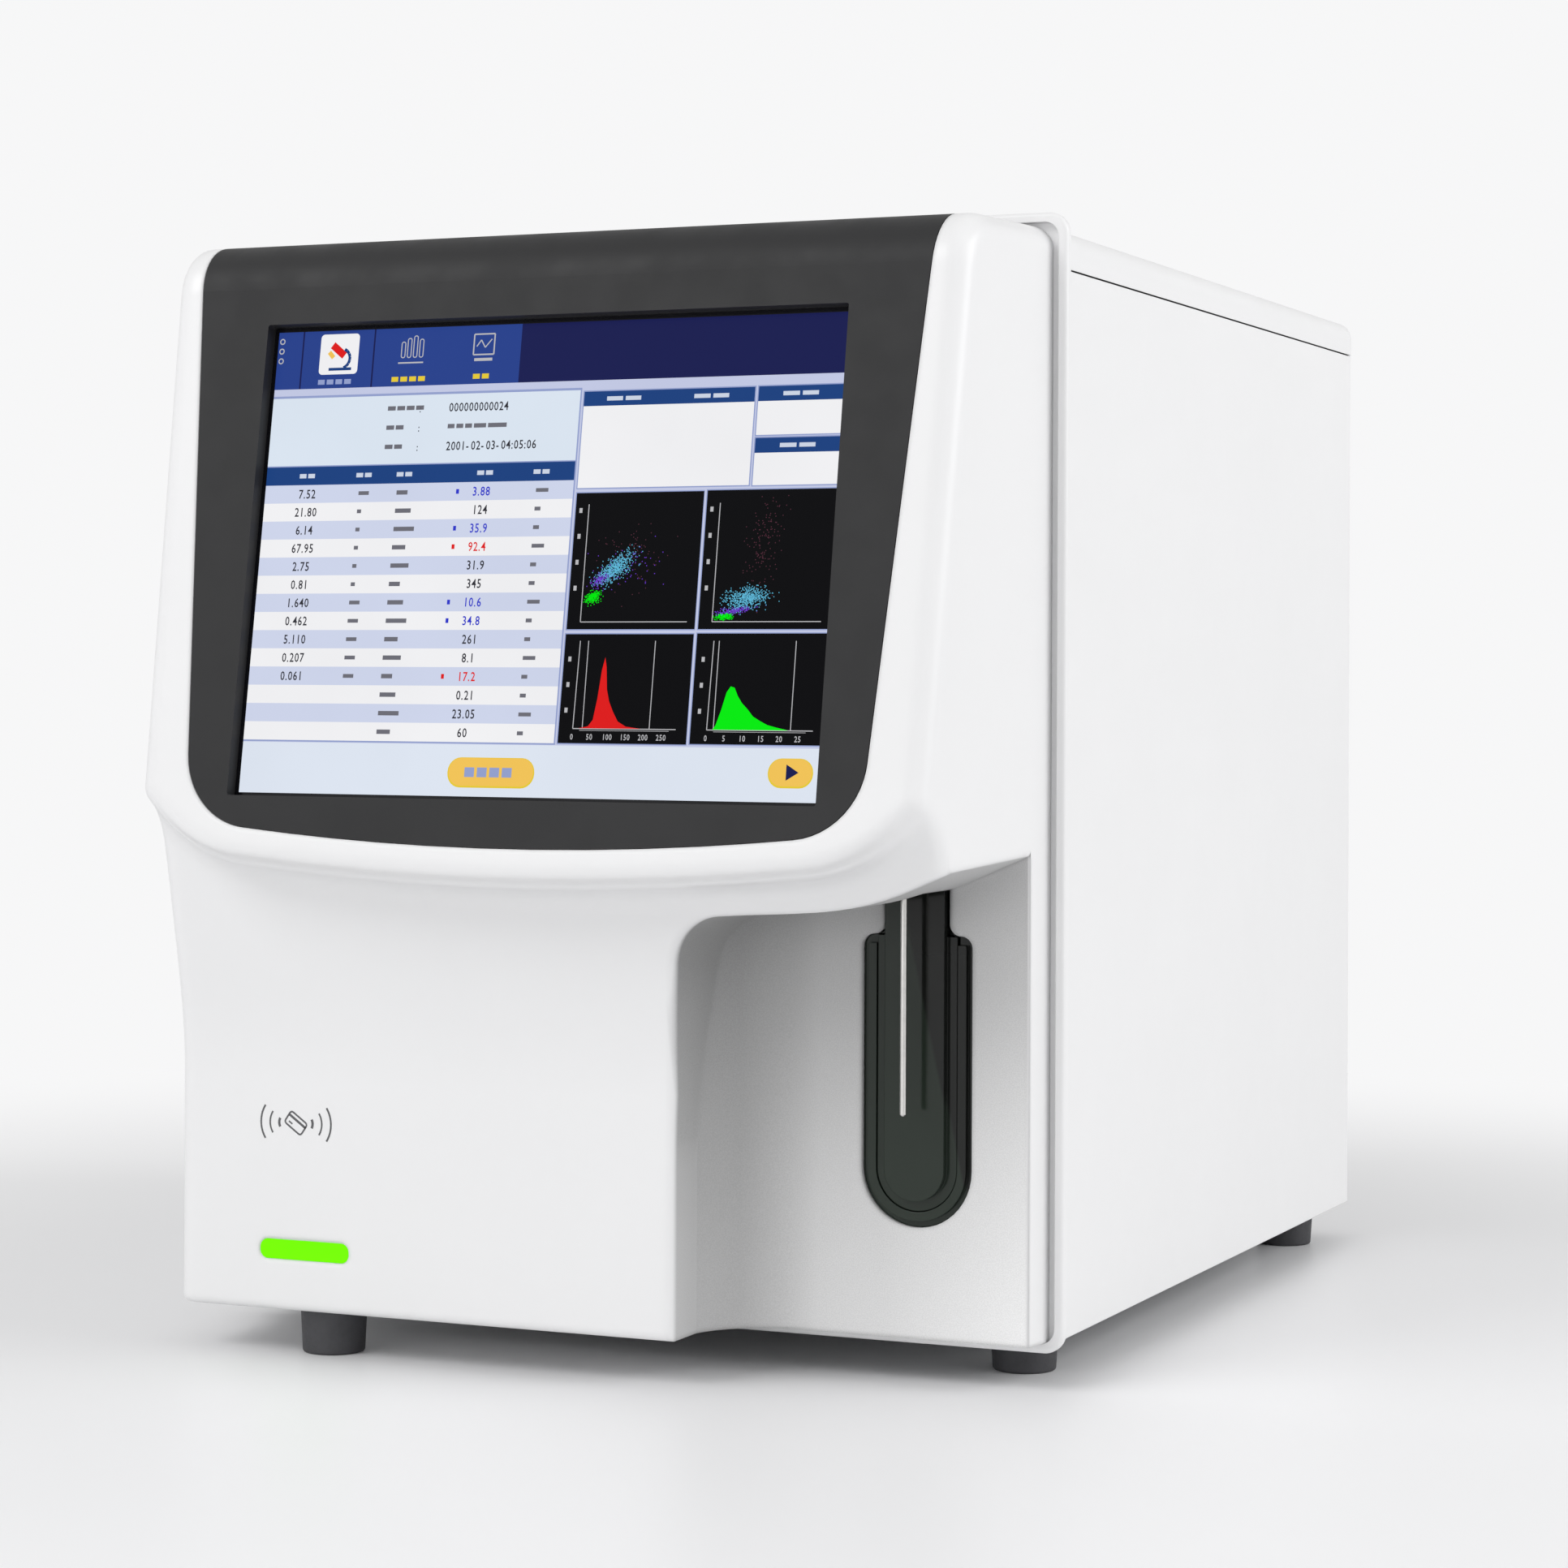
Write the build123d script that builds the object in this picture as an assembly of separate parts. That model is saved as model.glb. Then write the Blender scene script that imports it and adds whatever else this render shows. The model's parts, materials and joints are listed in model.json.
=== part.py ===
from build123d import *
import math
import os

# A bench-top hematology analyzer: a sheet-metal case behind a moulded front
# housing with a raked display pod and an open sampling bay.
# Millimetres. X to the right seen from the front, -Y to the front, +Z up.
# The model is drawn with y = 0 on the front face of the rim and moved at the
# end, so that the origin is at the middle of the base of its overall box.

# Overall case
CASE_W = 312.0
CASE_BOTTOM = 14.6
CASE_TOP = 382.2
CASE_D = 371.0
SHEET = 1.2
SEAM_Z = 368.5
SEAM_GAP = 0.5
COVER_R = 7.0
FIT = 0.3

# Rim between the case and the front housing
RIM_PROUD = 4.0
RIM_T = 4.5
RIM_LAND = 3.2
RIM_WEB_T = 1.5
RIM_R = 7.0
COLLAR_D = 10.0
COLLAR_T = 2.0

# Front housing
WALL = 3.0
HOUSING_STEP = 2.0
HOUSING_W = CASE_W - 2 * HOUSING_STEP
HOUSING_BOTTOM = 15.4
HOUSING_TOP = 382.0
SIDE_TAPER = 0.14
FACE_ANGLE = 9.1
FACE_Y = 84.5
FACE_Z = 195.4
TOP_NOSE_R = 20.0
BLOCK_Y = 52.0
LIP_Z = 164.0
LIP_BOW = 11.0
LIP_OUT = 24.0
LIP_CORNER_R = 50.0
LIP_UNDER_R = 12.0
FALL_LOW_Z = 96.0
FALL_TOP_Z = 222.0
FALL_LEAN = 32.0
SIDE_R = 8.0

# Sampling bay
BAY_LEFT = HOUSING_W / 2 - 111.3
BAY_LEAN = 6.2
BAY_BACK = 12.0
BAY_SWEEP_R = 28.0
BAY_CORNER_R = 18.0
BAY_EDGE_R = 2.5
CEILING_Z = 154.3
CEILING_BEND_X = HOUSING_W / 2 - 36.0
CEILING_RISE = 7.4
CEILING_END_Z = 183.0

# Slot, key and probe
SLOT_X = HOUSING_W / 2 - 41.2
SLOT_W = 39.0
SLOT_BOTTOM = 52.0
SLOT_SHOULDER = 148.5
NECK_W = 23.0
NECK_TOP = 172.0
NOTCH_DEPTH = 24.0
SURROUND_DROP = 2.0
KEY_BASE_W = 28.0
KEY_FACE_W = 21.0
KEY_BASE_DROP = 0.5
KEY_PROUD = 2.4
KEY_FLANGE = 3.0
KEY_TRAVEL = 2.5
KEY_GAP = 0.3
KEY_TOP = 166.0
PROBE_Y = 24.0
PROBE_R = 1.1
PROBE_TIP = 90.0
PROBE_TRAVEL = 74.0
RUN_FIT = 0.05

# Probe lift
RINSE_Z = 170.0
RINSE_H = 16.0
CARRIAGE_Z = 212.0
CARRIAGE_H = 16.0
ROD_R = 3.0
ROD_SPREAD = 17.0
ROD_Y = 2.0
LIFT_LOW_Z = 176.0
LIFT_TOP_Z = 340.0
LIFT_PLATE_Y = 20.0
LIFT_PLATE_T = 3.0
PULLEY_R = 9.0
BELT_T = 1.4
BELT_W = 6.0
BELT_GAP = 0.3
MOTOR = 42.0
MOTOR_L = 34.0
DRIVE_Z = 196.0
IDLER_Z = 318.0

# Display
BEZEL_T = 2.5
BEZEL_TOP_HALF = 135.9
BEZEL_LOW_HALF = 124.0
BEZEL_LOW_Z = 205.0
BEZEL_BOTTOM = 177.4
BEZEL_CORNER_R = 26.0
BEZEL_FLARE = 0.0665
BEZEL_BACK = 22.0
SCREEN_W = 211.2
SCREEN_H = 158.4
SCREEN_BOTTOM_Z = 194.6
SCREEN_DEPTH = 5.0
WINDOW_MARGIN = 1.6
GLASS_T = 1.8
LCD_T = 7.0
GLASS_BORDER = 6.0

# Status light and card reader
LIGHT_X = -CASE_W / 2 + 60.0
LIGHT_Z = 36.4
LIGHT_W = 34.8
LIGHT_H = 6.8
CARD_X = -CASE_W / 2 + 56.0
CARD_Z = 79.8

# Feet
FOOT_R = 11.5
FOOT_TAPER = 0.8
FOOT_PLACES = {
    "foot_front_left": (-CASE_W / 2 + 62.5, -36.0),
    "foot_front_right": (CASE_W / 2 - 21.0, 32.0),
    "foot_rear_left": (-CASE_W / 2 + 19.0, CASE_D - 29.0),
    "foot_rear_right": (CASE_W / 2 - 19.0, CASE_D - 29.0),
}
FOOT_SCREW_R = 2.0

# Fan, sockets and fittings on the back
FAN = 80.0
FAN_T = 25.0
FAN_X = CASE_W / 2 - 71.0
FAN_Z = CASE_TOP - 82.2
INLET_X = -CASE_W / 2 + 56.0
INLET_Z = 70.0
INLET_W = 27.0
INLET_H = 20.0
SWITCH_X = INLET_X + 38.0
PORT_X = (-20.0, 10.0, 40.0, 70.0)
PORT_Z = 70.0
PORT_R = 3.2
PORT_STICK_OUT = 14.0
PORT_INSIDE = 14.0
PORT_WALL = 1.4
PORT_NUT_T = 4.0
RIDGE_PITCH = 1.8
RIDGE_DEPTH = 0.6

# Inner frame and what stands on it
MID_X = -20.0
MID_T = 1.5
TRAY_T = 1.5
SYRINGE_Y = (110.0, 160.0)
SYRINGE_X = 14.0
BARREL_R = 9.0
BORE_R = 6.0
BARREL_Z = 190.0
BARREL_H = 64.0
PISTON_TRAVEL = 32.0
SCREW_R = 2.5
BATH_X = (62.0, 100.0)
BATH_Y = 120.0
BATH_R = 13.0
BATH_Z = 110.0
BATH_H = 44.0
OPTIC_Z = 210.0
OPTIC_D = 110.0
OPTIC_BACK_GAP = 25.0
SIDE_GAP = 14.8
PUMP_Y = 150.0
PUMP_X = 40.0
VALVE_X = 28.0
VALVES = 8
BOARD_T = 1.6

SWITCH_W = 15.0
SWITCH_H = 21.0
ROCKER_TILT = 8.0
SOCKETS = ((-20.0, 120.0, 14.0, 15.0), (6.0, 120.0, 14.0, 15.0), (34.0, 120.0, 16.5, 14.0), (70.0, 120.0, 30.0, 11.0))
EARTH_X = -CASE_W / 2 + 26.0
VENT_X = -CASE_W / 2 + 76.0
VENT_Z = 270.0
PORT_HOLE_R = 3.5
FAN_PITCH = 71.5
FAN_HUB_R = 17.0
SCREW_HOLE_R = 1.8
SCREW_SHANK_R = 1.6
GUARD_WIRE_R = 0.9
FOOT_SCREW_HEAD_R = 4.0
MID_TOP = 320.0
BOARD_OFF = 6.0
MOTOR_SHELF_Z = 150.0
PIN_R = 2.5
PULLEY_TEETH = 18
PROBE_BORE_R = 0.6
GLASS_CORNER_R = 7.0
LCD_BOARD_T = 4.0
LIGHT_CORNER_R = 3.0
CARD_BOARD_W = 64.0
CARD_BOARD_H = 44.0
BOSS_L = 3.0

# Values worked out from the ones above
RAKE = math.tan(math.radians(FACE_ANGLE))
CASE_HALF = CASE_W / 2
RIM_HALF = CASE_HALF + RIM_PROUD
RIM_BOTTOM = CASE_BOTTOM - RIM_PROUD + 1.0
RIM_TOP = CASE_TOP + RIM_PROUD
INSIDE = CASE_HALF - SHEET
WEB_Y = RIM_T - RIM_WEB_T
FLOOR_Z = CASE_BOTTOM + TRAY_T
REAR_Y = CASE_D
FAR = 200.0
OPTIC_Y = REAR_Y - OPTIC_BACK_GAP - OPTIC_D
FLUID_X = INSIDE - SIDE_GAP
VALVE_PITCH = (FLUID_X - 8.4 - VALVE_X) / (VALVES - 1)


def face_y(z):
    """How far the raked pod face stands ahead of the rim at height z."""
    return FACE_Y - (z - FACE_Z) * RAKE


def span(x0, x1, y0, y1, z0, z1):
    """A box between two corners."""
    size = (abs(x1 - x0), abs(y1 - y0), abs(z1 - z0))
    return Pos((x0 + x1) / 2, (y0 + y1) / 2, (z0 + z1) / 2) * Box(*size)


def rod(x, y, z, radius, length, axis=Axis.Z):
    """A cylinder that starts at a point and runs along an axis."""
    bar = Cylinder(radius, length, align=(Align.CENTER, Align.CENTER, Align.MIN))
    turn = {"X": Rot(0, 90, 0), "Y": Rot(-90, 0, 0), "Z": Rot(0, 0, 0)}
    name = "X" if abs(axis.direction.X) > 0.5 else "Y" if abs(axis.direction.Y) > 0.5 else "Z"
    return Pos(x, y, z) * turn[name] * bar


def prism_y(sketch, y0, y1):
    """Extrudes a sketch drawn in X and Z from y0 to y1, with y0 below y1."""
    flat = Plane((0, y1, 0), x_dir=(1, 0, 0), z_dir=(0, -1, 0)) * sketch
    return extrude(flat, amount=y1 - y0)


def prism_z(sketch, z0, z1):
    """Extrudes a sketch drawn in X and Y from z0 to z1."""
    return extrude(Plane((0, 0, z0)) * sketch, amount=z1 - z0)


def grown(sketch, amount):
    """A sketch with its outline moved out by an amount, or in if it is negative."""
    if amount == 0:
        return sketch
    return offset(sketch, amount, kind=Kind.INTERSECTION)


def side_plane():
    """A plane whose first axis is +Y and whose second is +Z, at x = 0."""
    return Plane((0, 0, 0), x_dir=(0, 1, 0), z_dir=(1, 0, 0))


def side_outline():
    """The housing from the side, before the fall-back under the lip is cut."""
    top_y = -face_y(HOUSING_TOP)
    low_y = -face_y(HOUSING_BOTTOM)
    points = [(WEB_Y, HOUSING_BOTTOM), (low_y, HOUSING_BOTTOM), (top_y, HOUSING_TOP), (WEB_Y, HOUSING_TOP)]
    outline = make_face(Polyline(*points, close=True))
    nose = outline.vertices().filter_by(lambda v: abs(v.Y - HOUSING_TOP) < 0.1).sort_by(Axis.X)[0]
    return fillet(nose, TOP_NOSE_R)


def lip_outline(inset):
    """The pod from the front: it widens upwards over a bowed lip with large corners."""
    low_z = LIP_Z + LIP_BOW
    top_z = HOUSING_TOP + 30
    low_x = BEZEL_LOW_HALF + LIP_OUT - (BEZEL_LOW_Z - low_z) * BEZEL_FLARE
    top_x = BEZEL_LOW_HALF + LIP_OUT + (top_z - BEZEL_LOW_Z) * BEZEL_FLARE
    sides = Polyline((-low_x, low_z), (-top_x, top_z), (top_x, top_z), (low_x, low_z))
    bottom = ThreePointArc((low_x, low_z), (0, LIP_Z), (-low_x, low_z))
    outline = make_face(sides + bottom)
    corners = outline.vertices().filter_by(lambda v: v.Y < top_z - 1)
    return grown(fillet(corners, LIP_CORNER_R), -inset)


def lower_outline(inset):
    """The block from the side, its front leaning out under and behind the pod."""
    front = -BLOCK_Y + inset
    high = FALL_TOP_Z - FALL_LOW_Z
    steps = ((0.0, 0.0), (0.10, 0.206), (0.27, 0.381), (0.453, 0.556), (0.656, 0.730), (1.0, 1.0))
    points = [(front - FALL_LEAN * out, FALL_LOW_Z + high * up) for out, up in steps]
    fall = Spline(*points, tangents=[(0, 1), (-0.33, 1)])
    top = HOUSING_TOP + 30
    low = HOUSING_BOTTOM + inset
    rest = Polyline(points[-1], (points[-1][0], top), (WEB_Y, top), (WEB_Y, low), (front, low), points[0])
    return make_face(fall + rest)


def taper_outline(inset):
    """The housing's sides from above, drawn in towards the front."""
    back = HOUSING_W / 2 - inset
    front = back - SIDE_TAPER * FAR
    return make_face(Polyline((-back, 10), (-back, 0), (-front, -FAR), (front, -FAR), (back, 0), (back, 10), close=True))


def slab(outline):
    """An outline drawn in Y and Z, extruded over the housing's width."""
    return Pos(-HOUSING_W / 2, 0, 0) * extrude(side_plane() * outline, amount=HOUSING_W)


def pod_and_block(inset):
    """The housing's full form without the bay, moved in by an inset."""
    raked = slab(grown(side_outline(), -inset))
    pod = raked & prism_y(lip_outline(inset), -FAR, WEB_Y)
    block = raked & slab(lower_outline(inset))
    return (pod + block) & prism_z(taper_outline(inset), 0, HOUSING_TOP + 20)


def bay_plan():
    """The sampling bay from above, with its left wall swept back in an arc."""
    r = BAY_SWEEP_R
    left = BAY_LEFT - 1.0
    start = (left, -BAY_BACK - r)
    middle = (left + r * (1 - math.cos(math.pi / 4)), -BAY_BACK - r * (1 - math.sin(math.pi / 4)))
    end = (left + r, -BAY_BACK)
    wall = ThreePointArc(start, middle, end)
    rest = Polyline(end, (FAR, -BAY_BACK), (FAR, -FAR), (left, -FAR), start)
    return make_face(wall + rest)


def bay_front(amount):
    """The sampling bay from the front, moved out: a leaning wall, a ceiling that turns up."""
    left = BAY_LEFT - amount
    lean_z = FALL_LOW_Z - 25
    corner = (left + BAY_LEAN, CEILING_Z + amount)
    wall = TangentArc((left, lean_z), corner, tangent=(0, 1))
    bend = (CEILING_BEND_X, corner[1] + CEILING_RISE)
    half_way = ((corner[0] + bend[0]) / 2, corner[1] + CEILING_RISE * 0.4)
    turn = (bend[0] + 20, bend[1] + 7.5)
    end = (bend[0] + 52, CEILING_END_Z + amount)
    ceiling = Spline(corner, half_way, bend, turn, end)
    rest = Polyline(end, (FAR, end[1]), (FAR, -60), (left, -60), (left, lean_z))
    outline = make_face(wall + ceiling + rest)
    corners = outline.vertices().filter_by(lambda v: abs(v.X - corner[0]) < 0.1)
    return fillet(corners, BAY_CORNER_R + amount)


def bay(amount):
    """The space of the sampling bay, grown by an amount."""
    plan = prism_z(grown(bay_plan(), amount), -60, HOUSING_TOP)
    front = prism_y(bay_front(amount), -FAR, 40)
    return plan & front


def slot_outline(clear):
    """The key's opening in the bay wall: an oblong with shoulders and a neck."""
    r = SLOT_W / 2 - clear
    neck = NECK_W / 2 - clear
    cx = SLOT_X
    low = SLOT_BOTTOM + SLOT_W / 2
    shoulder = SLOT_SHOULDER - clear
    up = Polyline((cx - r, low), (cx - r, shoulder), (cx - neck, shoulder), (cx - neck, NECK_TOP))
    down = Polyline((cx - neck, NECK_TOP), (cx + neck, NECK_TOP), (cx + neck, shoulder), (cx + r, shoulder), (cx + r, low))
    bottom = ThreePointArc((cx - r, low), (cx, low - r), (cx + r, low))
    outline = make_face(up + down + bottom)
    corners = outline.vertices().filter_by(lambda v: abs(v.Y - shoulder) < 0.1)
    return fillet(corners, 4.0)


def oblong(width, z_low, z_high, square_top=False):
    """An upright oblong about the slot's centre line."""
    r = width / 2
    cx = SLOT_X
    bottom = ThreePointArc((cx - r, z_low + r), (cx, z_low), (cx + r, z_low + r))
    if square_top:
        top = Polyline((cx + r, z_low + r), (cx + r, z_high), (cx - r, z_high), (cx - r, z_low + r))
        return make_face(bottom + top)
    right = Line((cx + r, z_low + r), (cx + r, z_high - r))
    top = ThreePointArc((cx + r, z_high - r), (cx, z_high), (cx - r, z_high - r))
    left = Line((cx - r, z_high - r), (cx - r, z_low + r))
    return make_face(bottom + right + top + left)


def bezel_outline(clear):
    """The dark bezel from the front, with a bowed lower edge."""
    low_x = BEZEL_LOW_HALF - (BEZEL_LOW_Z - BEZEL_BOTTOM) * BEZEL_FLARE
    top_x = BEZEL_TOP_HALF
    side_z = BEZEL_BOTTOM + 7.5
    top_z = HOUSING_TOP + 30
    top_far = top_x + 30 * BEZEL_FLARE
    sides = Polyline((-low_x, side_z), (-top_far, top_z), (top_far, top_z), (low_x, side_z))
    bottom = ThreePointArc((low_x, side_z), (0, BEZEL_BOTTOM), (-low_x, side_z))
    outline = make_face(sides + bottom)
    corners = outline.vertices().filter_by(lambda v: v.Y < BEZEL_LOW_Z)
    outline = fillet(corners, BEZEL_CORNER_R)
    return grown(outline, clear)


def raked_plane(depth):
    """The pod face's own plane, moved in by a depth. Its second axis runs up it."""
    rake = math.radians(FACE_ANGLE)
    z = SCREEN_BOTTOM_Z
    normal = Vector(0, -math.cos(rake), math.sin(rake))
    origin = Vector(0, -face_y(z), z) - normal * depth
    return Plane(origin, x_dir=(1, 0, 0), z_dir=normal)


def raked_plate(width, margin, depth, thickness, radius=0.0):
    """A plate over the screen, its front a depth below the pod face."""
    plane = raked_plane(depth)
    high = SCREEN_H + 2 * margin
    if radius:
        sketch = RectangleRounded(width, high, radius)
    else:
        sketch = Rectangle(width, high)
    sketch = Pos(0, SCREEN_H / 2) * sketch
    return extrude(plane * sketch, amount=-thickness)


def on_flank(edge):
    """True for an edge where the housing's side meets its front or top."""
    c = edge.center()
    wall = HOUSING_W / 2 + SIDE_TAPER * c.Y
    return abs(abs(c.X) - wall) < 1.5 and c.Y < WEB_Y - 1 and c.Z > HOUSING_BOTTOM + 0.5


def round_housing(solid):
    """Softens the hollow under the lip, then rounds the lip and the sides."""
    def on_lip(edge, ahead):
        c = edge.center()
        across = edge.bounding_box().size.X > 5 and not on_flank(edge)
        leading = c.Y < -face_y(c.Z) + 5
        return across and LIP_Z - 2 < c.Z < LIP_Z + LIP_CORNER_R and leading == ahead
    under = solid.edges().filter_by(lambda edge: on_lip(edge, False))
    solid = fillet(under, LIP_UNDER_R)
    lip = solid.edges().filter_by(lambda edge: on_lip(edge, True))
    return fillet(lip + solid.edges().filter_by(on_flank), SIDE_R)


def soften_block(solid):
    """Rounds the block's lower front edge and the bay's left front edge in one go."""
    def on_front(edge):
        return abs(edge.center().Y + BLOCK_Y) < 2.5
    def on_edge(edge):
        c = edge.center()
        return c.X < BAY_LEFT and abs(c.Z - HOUSING_BOTTOM) < 0.1 or abs(c.X - BAY_LEFT) < 3
    edges = solid.edges().filter_by(on_front).filter_by(on_edge)
    return fillet(edges.filter_by(lambda edge: abs(edge.center().Y + BLOCK_Y) < 0.1 or edge.center().X < 0), BAY_EDGE_R)


def cavity():
    """The hollow inside the housing, thicker behind the bezel."""
    seat = prism_y(bezel_outline(WALL), -FAR, -BEZEL_BACK + WALL)
    ledge = seat - pod_and_block(WALL + BEZEL_T)
    back = HOUSING_W / 2 - WALL
    mouth = span(-back, back, WEB_Y - WALL - 2, WEB_Y + 5, HOUSING_BOTTOM + WALL, HOUSING_TOP - WALL)
    return pod_and_block(WALL) + mouth - ledge


def base_opening():
    """The opening in the block's floor that the front foot hangs through."""
    left = -HOUSING_W / 2 + 18
    x, y = FOOT_PLACES["foot_front_left"]
    top = HOUSING_BOTTOM + WALL + 1
    return span(left, BAY_LEFT - WALL - 6, -BLOCK_Y + 9, WEB_Y + 5, 0, top) + rod(x, y, 0, FOOT_R + 1, top)


def bosses():
    """Studs on the inside of the block for the card reader and the light's board."""
    front = -BLOCK_Y + WALL - 0.5
    group = []
    for x, z in board_corners(CARD_X, CARD_Z, CARD_BOARD_W, CARD_BOARD_H):
        group.append(rod(x, front, z, 2.5, BOSS_L + 0.5, Axis.Y))
    for side in (-1, 1):
        x = LIGHT_X + side * (LIGHT_W / 2 + 6)
        group.append(rod(x, front, LIGHT_Z, 2.5, BOSS_L + 0.5, Axis.Y))
    return group


def board_corners(x, z, width, height):
    """Four screw places near the corners of a board."""
    inset = 4.0
    half_w = width / 2 - inset
    half_h = height / 2 - inset
    return [(x + i * half_w, z + k * half_h) for i in (-1, 1) for k in (-1, 1)]


def front_housing():
    """The moulded front: a raked pod, the block below it and the bay beside it."""
    outer = round_housing(pod_and_block(0))
    shell = soften_block(outer - bay(0))
    shell = shell - (cavity() - bay(WALL)) - base_opening()
    seat = prism_y(bezel_outline(FIT / 2), -FAR, -BEZEL_BACK + FIT / 2)
    shell = shell - (seat - pod_and_block(BEZEL_T + FIT / 2))
    glass_w = SCREEN_W + 2 * GLASS_BORDER + 2
    shell = shell - raked_plate(glass_w, GLASS_BORDER + 1, -5, 40, GLASS_CORNER_R + 1)
    shell = shell - prism_y(slot_outline(0), -BAY_BACK - 3, 20)
    neck = NECK_W / 2
    shell = shell - span(SLOT_X - neck, SLOT_X + neck, -BAY_BACK - NOTCH_DEPTH, 0, CEILING_Z - 20, NECK_TOP)
    light = RectangleRounded(LIGHT_W, LIGHT_H, LIGHT_CORNER_R)
    shell = shell - prism_y(Pos(LIGHT_X, LIGHT_Z) * light, -BLOCK_Y - 5, -BLOCK_Y + 10)
    for boss in bosses():
        shell = shell + boss
    return shell


def front_base_plate():
    """The sheet that closes the block's floor and carries the front left foot."""
    left = -HOUSING_W / 2 + 13
    z = HOUSING_BOTTOM + WALL
    plate = span(left, BAY_LEFT - WALL - 2, -BLOCK_Y + 5, WEB_Y, z, z + TRAY_T)
    x, y = FOOT_PLACES["foot_front_left"]
    return plate - rod(x, y, 0, FOOT_SCREW_R + 0.3, 40)


def rounded_ring(half, low, high, radius, y0, y1):
    """A rounded rectangular bar between two depths, centred on x = 0."""
    sketch = Pos(0, (low + high) / 2) * RectangleRounded(2 * half, high - low, radius)
    return prism_y(sketch, y0, y1)


def rim_frame():
    """The flange between case and housing, with a groove and a rear collar."""
    flange = rounded_ring(RIM_HALF, RIM_BOTTOM, RIM_TOP, RIM_R, 0, RIM_T)
    rear_face = flange.faces().sort_by(Axis.Y)[-1]
    front_face = flange.faces().sort_by(Axis.Y)[0]
    flange = fillet(rear_face.outer_wire().edges() + front_face.outer_wire().edges(), 1.4)
    land = RIM_LAND
    groove = rounded_ring(RIM_HALF - land, RIM_BOTTOM + land, RIM_TOP - land, RIM_R - 2, -1, WEB_Y)
    half = INSIDE - 0.4
    low = FLOOR_Z + 0.4
    high = CASE_TOP - SHEET - 0.4
    collar = rounded_ring(half, low, high, RIM_R - 2, RIM_T - 0.5, RIM_T + COLLAR_D)
    t = COLLAR_T
    hollow = rounded_ring(half - t, low + t, high - t, RIM_R - 3, -5, RIM_T + COLLAR_D + 1)
    return flange - groove + collar - hollow


def display_bezel():
    """The dark fascia that wraps over the pod's top, with the screen's window."""
    skin = prism_y(bezel_outline(-FIT / 2), -FAR, -BEZEL_BACK - FIT / 2)
    solid = (round_housing(pod_and_block(0)) - pod_and_block(BEZEL_T)) & skin
    window_w = SCREEN_W + 2 * WINDOW_MARGIN
    skirt = raked_plate(window_w + 4, WINDOW_MARGIN + 2, BEZEL_T - 0.5, SCREEN_DEPTH - BEZEL_T + 0.5, 1.5)
    window = raked_plate(window_w, WINDOW_MARGIN, -3, SCREEN_DEPTH + 6, 0.8)
    return solid + skirt - window


def touch_screen():
    """The touch glass at the bottom of the bezel's window."""
    return raked_plate(SCREEN_W + 2 * GLASS_BORDER, GLASS_BORDER, SCREEN_DEPTH, GLASS_T, GLASS_CORNER_R)


def lcd_module():
    """The display panel behind the glass, with its driver board."""
    depth = SCREEN_DEPTH + GLASS_T
    panel = raked_plate(SCREEN_W + 2 * GLASS_BORDER - 4, GLASS_BORDER - 2, depth, LCD_T, 2.0)
    board = raked_plane(depth + LCD_T) * (Pos(0, SCREEN_H / 2) * Rectangle(150, 60))
    return panel + extrude(board, amount=-LCD_BOARD_T)


def lcd_bracket():
    """The sheet frame that clamps the display, on four legs to the bezel's ledge."""
    depth = SCREEN_DEPTH + GLASS_T + LCD_T
    wide = SCREEN_W + 2 * GLASS_BORDER + 20
    frame = raked_plate(wide, -4, depth, TRAY_T, 3.0)
    hole = raked_plate(wide - 60, -24, depth - 5, TRAY_T + 12, 3.0)
    solid = frame - hole
    ledge = WALL + BEZEL_T
    for side in (-1, 1):
        for up in (14.0, SCREEN_H - 14.0):
            place = Pos(side * (wide / 2 - 4), up) * Circle(3.0)
            solid = solid + extrude(raked_plane(ledge) * place, amount=-(depth - ledge + TRAY_T))
    return solid


def status_light():
    """The light's lens, with a flange behind the block's wall."""
    lens = RectangleRounded(LIGHT_W - FIT, LIGHT_H - FIT, LIGHT_CORNER_R - FIT / 2)
    solid = prism_y(Pos(LIGHT_X, LIGHT_Z) * lens, -BLOCK_Y - 0.2, -BLOCK_Y + WALL)
    flange = RectangleRounded(LIGHT_W + 4, LIGHT_H + 4, LIGHT_CORNER_R)
    back = -BLOCK_Y + WALL
    return solid + prism_y(Pos(LIGHT_X, LIGHT_Z) * flange, back, back + BOSS_L)


def led_board():
    """The board behind the light, on two studs."""
    y = -BLOCK_Y + WALL + BOSS_L
    board = span(LIGHT_X - 29, LIGHT_X + 29, y, y + BOARD_T, LIGHT_Z - 7, LIGHT_Z + 7)
    for i in range(3):
        x = LIGHT_X + (i - 1) * 12
        board = board + span(x - 2.5, x + 2.5, y + BOARD_T, y + BOARD_T + 2, LIGHT_Z - 1.5, LIGHT_Z + 1.5)
    return board


def card_reader_board():
    """The card reader's board, on four studs behind the card symbol."""
    y = -BLOCK_Y + WALL + BOSS_L
    half_w = CARD_BOARD_W / 2
    half_h = CARD_BOARD_H / 2
    board = span(CARD_X - half_w, CARD_X + half_w, y, y + BOARD_T, CARD_Z - half_h, CARD_Z + half_h)
    back = y + BOARD_T
    board = board + span(CARD_X - 8, CARD_X + 8, back, back + 2, CARD_Z - 8, CARD_Z + 8)
    return board + span(CARD_X + 12, CARD_X + 26, back, back + 6, CARD_Z - 4, CARD_Z + 4)


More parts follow.
